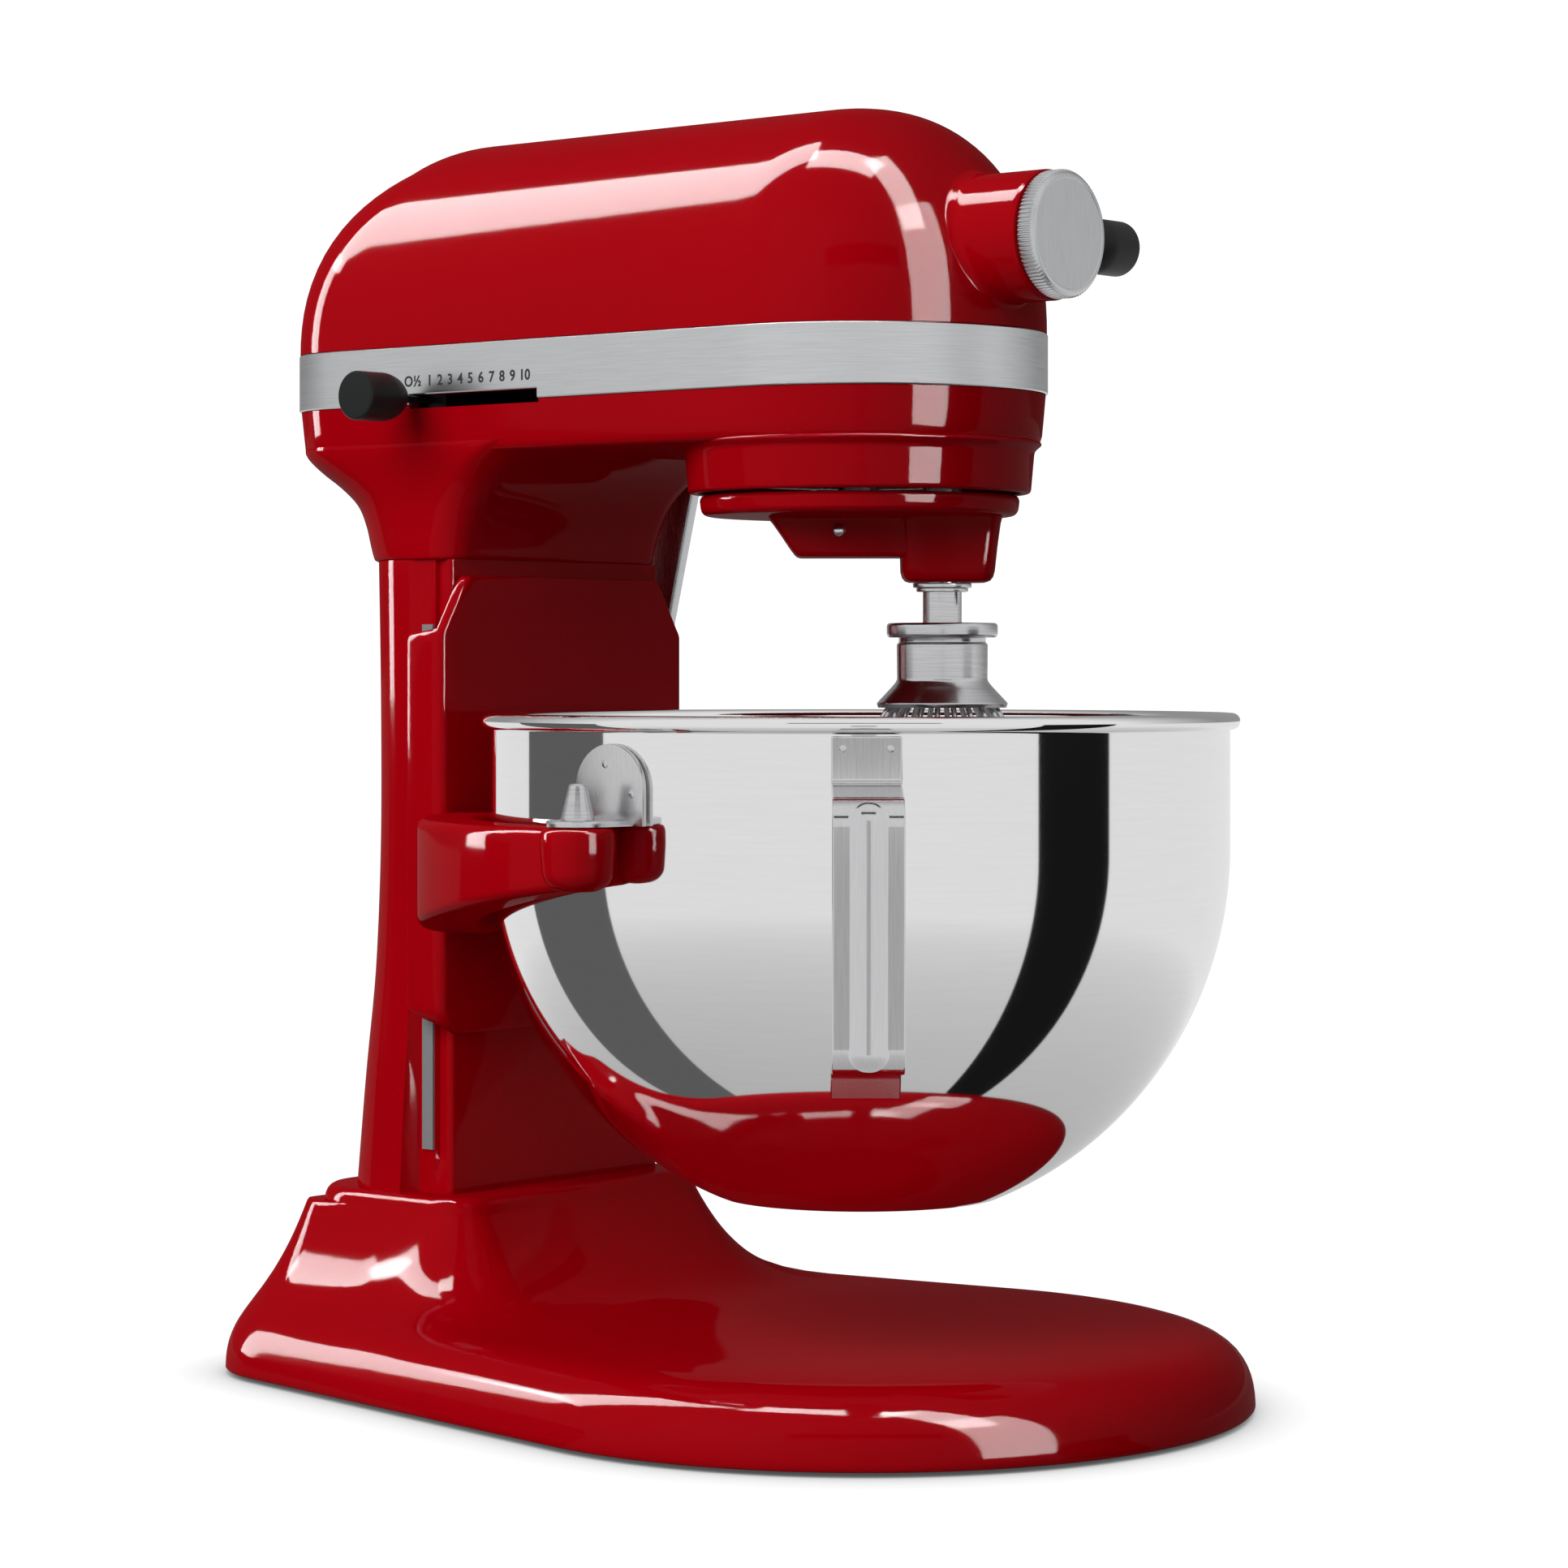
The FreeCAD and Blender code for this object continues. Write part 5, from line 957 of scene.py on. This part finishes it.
def support_outline(z, w, back, lip):
    """U about the column: plate in front, a flange each side, front corners rounded."""
    inner = min(FLANGE_IN, w - 1.0)
    back = max(back, PLATE_BACK + 0.02)
    half = run((0, SUPPORT_FRONT + lip), (w - 3.0, SUPPORT_FRONT + lip), 8)
    half += arc((w - 3.0, SUPPORT_FRONT + 3.0), 3.0 - lip, -90, 0, 8)
    half += [(w - lip, SUPPORT_FRONT + 3.3), (w - lip, back - 0.9), (w - lip - 0.25, back - 0.25)]
    half += [(w - lip - 0.9, back), (inner + 0.6, back), (inner + 0.1, back - 0.1)]
    half += [(inner, back - (0.6 if back > 133 else 0.01))]
    half += [(inner, PLATE_BACK + 0.01), (inner - 0.5, PLATE_BACK), (0, PLATE_BACK)]
    return [(x, y, z) for x, y in mirrored_outline(half)]


support_bm = bmesh.new()
loft(support_bm, [support_outline(*row, lip) for row, lip in zip(PLATE_SHAPE, PLATE_LIPS)])
ARM_IN = BOWL_R + 3.4
ARM_OUT = 142.4
ARM_TOP = 189.6


def arm_section(angle, side):
    """Rounded section of an arm at an angle about the bowl: deeper towards the column."""
    a = math.radians(angle)
    low = 171.0 - 21.0 * min(max((ARM_OUT * math.sin(a)) / 128.0, 0.0), 1.0) ** 1.15
    out = min(ARM_OUT, 139.2 / max(math.cos(a), 0.01))
    mid_r, mid_z = (ARM_IN + out) / 2, (low + ARM_TOP) / 2
    half_r, half_z = (out - ARM_IN) / 2, (ARM_TOP - low) / 2
    c = min(3.4, half_r * 0.6)
    return [(side * (mid_r + x) * math.cos(a), (mid_r + x) * math.sin(a), mid_z + y)
            for x, y in rounded_section(half_r, half_z, c, 5)]


ARM_STOPS = [1, *range(3, 18, 3), *range(18, 55, 4), 57.5, 60.5, 63.5, 66.0]
for side in (1, -1):
    loft(support_bm, [arm_section(angle, side) for angle in ARM_STOPS])
    lathe(support_bm, [(0, 170.6), (6.5, 170.6, 3.0), (10.6, 174.0, 4.5), (11.4, 184.0, 2.0),
                       (11.2, 188.4, 0.8), (10.2, ARM_TOP, 0.7), (0, ARM_TOP)],
          (side * PIN_X, 0, 0), segments=64)
piece(support_bm, "bowl_yoke", "bowl_support", "red_enamel", red_enamel, ["bowl_support"], crease=38)

# ---- Locating pins
# Turned steel pins, bright and screwed into the pads of the support's arms.
# Their cones lead the bowl's tabs into place.

pins_bm = bmesh.new()
for side in (1, -1):
    lathe(pins_bm, [(0, 176.0), (3.4, 176.0), (3.4, ARM_TOP), (4.9, ARM_TOP, 0.2), (5.1, 192.2, 0.4),
                    (2.7, 202.3, 0.4), (2.3, 202.8, 0.2), (0, 202.8)], (side * PIN_X, 0, 0),
          segments=48)
piece(pins_bm, "bowl_locating_pins", "bowl_support", "steel", turned_steel, ["locating_pins"],
      crease=50)

# ---- Attachment hub cap
# Turned aluminium cap with a knurled rim and a brushed face. A short sleeve on its back plugs into
# the attachment socket.

# Soft level streaks on the face, and a rim that sparkles tooth by tooth.
cap_aluminium = brushed("turned_aluminium", "#D6D7D8", "#C0C1C3", 0.3, 0.5, (1.0, 0.05, 0.05))
cap_bm = bmesh.new()
TEETH = 90


def knurl(radius, depth, y):
    """Ring of the cap: two points out and two points in for every tooth."""
    ring = []
    for i, a in enumerate(full_circle(4 * TEETH)):
        r = radius - depth * (i % 4 in (2, 3))
        ring.append((r * math.cos(a), y, HUB_Z + r * math.sin(a)))
    return ring


cap_back, cap_face = HUB_FRONT - 0.3, hub_low.y
CAP_RINGS = [(19.2, 0.0, cap_back), (19.7, 0.3, cap_back - 0.3), (20.05, 0.55, cap_back - 0.7),
             (20.05, 0.55, cap_face + 1.5), (19.7, 0.3, cap_face + 1.0), (19.3, 0.0, cap_face + 0.75),
             (18.6, 0.0, cap_face + 0.12), (18.2, 0.0, cap_face), (17.4, 0.0, cap_face),
             (17.2, 0.0, cap_face + 0.12), (6.0, 0.0, cap_face + 0.12)]
loft(cap_bm, [knurl(*row) for row in CAP_RINGS])
lathe(cap_bm, [(11.6, 0.0), (13.6, 0.0, 0.2), (13.6, 9.2, 0.6), (11.6, 9.2, 0.4), (11.6, 0.0)],
      (0, cap_back + 0.1, HUB_Z), (0, 1, 0), segments=64)
piece(cap_bm, "attachment_hub_cap", "hub_cap", "cap", cap_aluminium, ["hub_cap"], crease=25)

# ---- Black knobs
# Moulded phenolic knobs for the speed, the attachment clamp and the lift lever: a short barrel with
# a domed end and a tapered neck, in a matt black with a very fine spark texture.


def moulded(name, colour, shade, roughness, grain_mm):
    """Moulded plastic: even colour, a fine grain that breaks up the shine."""
    material, tree, surface, at = new_material(name)
    grain, tone = mottled(tree, at, 1000 / grain_mm, 3.0, shade, colour)
    relief = add(tree, "Bump", {"Height": grain, "Strength": 0.25, "Distance": 0.00008})
    fill(tree, surface, {"Base Color": tone, "Normal": relief.outputs["Normal"],
                         "Roughness": roughness, "Specular IOR Level": 0.25})
    return material


black_plastic = moulded("matt_black_phenolic", "#1C1D1E", "#131415", 0.45, 0.5)


def knob(name, body, node, side, radius):
    """Barrel knob on one side of the mixer; its tapered neck points at the machine."""
    low, high = span(node)
    mid, depth, scale = (low + high) / 2, high.x - low.x, radius / 8.1
    bm = bmesh.new()
    lathe(bm, [(0, 0.0), (7.4 * scale, 0.1, 0.3), (8.1 * scale, 0.7, 0.6), (8.1 * scale, 13.4, 1.6),
               (7.0 * scale, 17.2, 1.6), (4.6 * scale, depth, 0.5), (0, depth)],
          (low.x if side < 0 else high.x, mid.y, mid.z), (-side, 0, 0), segments=64)
    piece(bm, name, body, "black_plastic", black_plastic, [node], crease=40)


knob("speed_lever_knob", "speed_lever", "speed_knob", -1, 8.1)
knob("attachment_clamp_knob", "attachment_knob", "attachment_knob", 1, 8.9)
knob("lift_lever_knob", "lift_lever", "lift_knob", 1, 8.1)

# ---- Speed lever
# Flat steel blade that comes out through the slot and carries the knob, with a wider plate inside
# the housing that closes the slot. It is blackened, and the dark plate behind the slot is also
# painted shade that makes the slot look dark.

# Near black, with a dull streaked sheen; behind the slot this dark colour is painted shade.
black_steel_and_slot_shade = brushed("blackened_spring_steel_slot_shade", "#3A3B3D", "#2A2B2C", 0.38, 0.6, (0.05, 1.0, 1.0))
blade_bm = bmesh.new()
blade_mid = sum(span("speed_knob"), Vector()) / 2


def blade(x, w, low, high):
    """Section of the blade with chamfered edges, w to either side of its middle line."""
    corners = ((-w, low), (-w + 0.4, low - 0.3), (w - 0.4, low - 0.3), (w, low), (w, high),
               (w - 0.4, high + 0.3), (-w + 0.4, high + 0.3), (-w, high))
    return [(x, blade_mid.y + dy, blade_mid.z + dz) for dy, dz in corners]


BLADE = [(-76.0, 2.4, -0.9, 0.7), (-70.0, 2.4, -0.9, 0.7), (-54.5, 2.4, -0.9, 0.7),
         (-54.4, 8.8, -4.0, 5.4), (-50.2, 8.8, -4.0, 5.4)]
loft(blade_bm, [blade(*row) for row in BLADE])
piece(blade_bm, "speed_lever_blade", "speed_lever", "dark_steel", black_steel_and_slot_shade, ["speed_arm"],
      crease=30)

# ---- Lift lever
# Flat steel lever with rounded ends on the right-hand side, cut from bar. Its broad foot is pinned
# to the lift shaft, and a stub at its tip carries the knob.

# Satin, with a grain that runs up the bar.
lever_steel = brushed("satin_lever_steel", "#D2D3D4", "#B9BABC", 0.28, 0.6, (1.0, 1.0, 0.06))
PIVOT_Y, PIVOT_Z = 151.5, 232.0
LEAN = math.radians(15.0)
LEVER_LONG = 110.0
end_y, end_z = PIVOT_Y - LEVER_LONG * math.sin(LEAN), PIVOT_Z + LEVER_LONG * math.cos(LEAN)
lever_bm = bmesh.new()


def lever_outline(x, inset):
    """Long rounded bar, wider round the shaft."""
    top = arc((end_y, end_z), 7.0 - inset, 15, 195, 18)
    foot = arc((PIVOT_Y, PIVOT_Z), 9.0 - inset, 201, 369, 22)
    return [(x, y, z) for y, z in top + foot]


LEVER = [(62.5, 0.9), (62.7, 0.3), (63.2, 0.0), (66.8, 0.0), (67.3, 0.3), (67.5, 0.9)]
loft(lever_bm, [lever_outline(*row) for row in LEVER])
lathe(lever_bm, [(0, 0), (3.0, 0), (3.0, 12.0), (0, 12.0)], (67.4, end_y, end_z), (1, 0, 0),
      segments=32)
piece(lever_bm, "bowl_lift_handle", "lift_lever", "steel", lever_steel, ["lift_lever"], crease=40)

# ---- Feet, bottom plate and inlet
# Five soft rubber feet and a pressed steel plate under the base, a rubber grommet for the mains lead
# in the column's back, and the two acetal strips on which the bowl support slides.


def finish_nodes(material, *names):
    """Give a modelled inner part its real finish."""
    for name in names:
        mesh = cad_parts[name].data
        mesh.materials.clear()
        mesh.materials.append(material)


# Rubber: black with no shine. Acetal: waxy mid grey. Galvanised sheet: blotchy 4 mm spangle.
black_rubber = moulded("black_rubber", "#1A1A1A", "#101010", 0.7, 0.8)
grey_acetal = moulded("grey_acetal", "#8F9193", "#828486", 0.4, 0.6)
pressed_steel = brushed("galvanised_sheet_steel", "#A9ACAE", "#8E9194", 0.4, 4.0)
finish_nodes(black_rubber, "feet", "inlet_bushing")
finish_nodes(grey_acetal, "guide_strips")
finish_nodes(pressed_steel, "base_plate")

# ---- Screws and pins
# Zinc-plated machine screws through the flanges, the hardened clamp screw, and the bright cross
# pins; the latch is a blued spring strip.

# Zinc: cool pale grey, slightly cloudy. Blued spring: dark blue-grey with a dull gleam.
zinc = brushed("zinc_plated_steel", "#C3C6C8", "#A4A8AC", 0.32, 1.2)
spring_steel = brushed("blued_spring_steel", "#5A5F66", "#44484E", 0.3, 0.6, (1.0, 1.0, 0.1))
finish_nodes(zinc, "column_bolts", "neck_screws", "attachment_screw", "lift_crank")
finish_nodes(turned_steel, "beater_pin", "bowl_latch_pin", "crank_roller")
finish_nodes(spring_steel, "bowl_latch")

# ---- Whip wires
# Eleven loops of springy stainless wire that bell out below the hub. They are polished, bent to
# shape and gripped by the hub's skirt.

# Thin bright lines, each with a dark edge.
wire_steel = brushed("polished_stainless_wire", "#D6D6D8", "#BDBDC0", 0.18, 0.4, (1.0, 1.0, 0.1))
finish_nodes(wire_steel, "whip_wires")

# ---- Gear trains
# Hobbed steel gears on ground shafts, running in sintered bronze bushings; the big ring gear is
# pressed in the gearcase collar and the bevel gear turns the planetary carrier.

# Cut teeth: mid grey with tool marks. Ground shafts: bright, ringed. Bronze: dull gold, porous.
cut_steel = brushed("hobbed_gear_steel", "#A2A4A8", "#84868B", 0.36, 0.5, (1.0, 1.0, 0.2))
ground_steel = brushed("ground_shaft_steel", "#C9CACD", "#ADAEB2", 0.2, 0.4, (1.0, 1.0, 0.05))
bronze = brushed("sintered_bronze", "#B08A4F", "#8F6C3A", 0.45, 0.4)
finish_nodes(cut_steel, "ring_gear", "planet_pinion", "centre_bevel_gear", "lay_pinion", "lay_wheel",
             "motor_pinion", "hub_pinion")
finish_nodes(ground_steel, "centre_shaft", "layshaft", "motor_shaft", "hub_shaft", "lift_shaft")
finish_nodes(bronze, "centre_bushing", "beater_bushing", "hub_bushing", "lift_bushing")

# ---- Motor
# Universal motor: stacked steel laminations, copper commutator with two carbon brushes, a black
# nylon fan, ball bearings in die-cast bells, held by a cradle; a small board controls the speed.

# Laminations: dark, finely ruled edges. Copper: warm and streaked. Carbon and nylon: dead black.
# Die-cast bells: pale and slightly rough. Board: green under a thin gloss.
laminations = brushed("stacked_laminations", "#6E7176", "#4A4D52", 0.5, 0.5, (0.05, 1.0, 0.05))
copper = brushed("drawn_copper", "#C27B4E", "#A5623A", 0.3, 0.5, (1.0, 0.1, 1.0))
carbon = moulded("carbon_graphite", "#2B2C2E", "#1D1E20", 0.6, 0.4)
black_nylon = moulded("black_nylon", "#202123", "#161719", 0.5, 0.8)
cast_aluminium = brushed("die_cast_aluminium", "#B7B9BB", "#989B9E", 0.45, 1.5)
board_laminate = moulded("green_board_laminate", "#2F5A3A", "#24492E", 0.45, 0.9)
finish_nodes(laminations, "stator", "armature")
finish_nodes(copper, "commutator")
finish_nodes(carbon, "motor_brushes")
finish_nodes(black_nylon, "motor_fan")
finish_nodes(cast_aluminium, "motor_bells", "gear_bracket", "motor_cradle")
finish_nodes(ground_steel, "motor_bearings")
finish_nodes(board_laminate, "control_board")
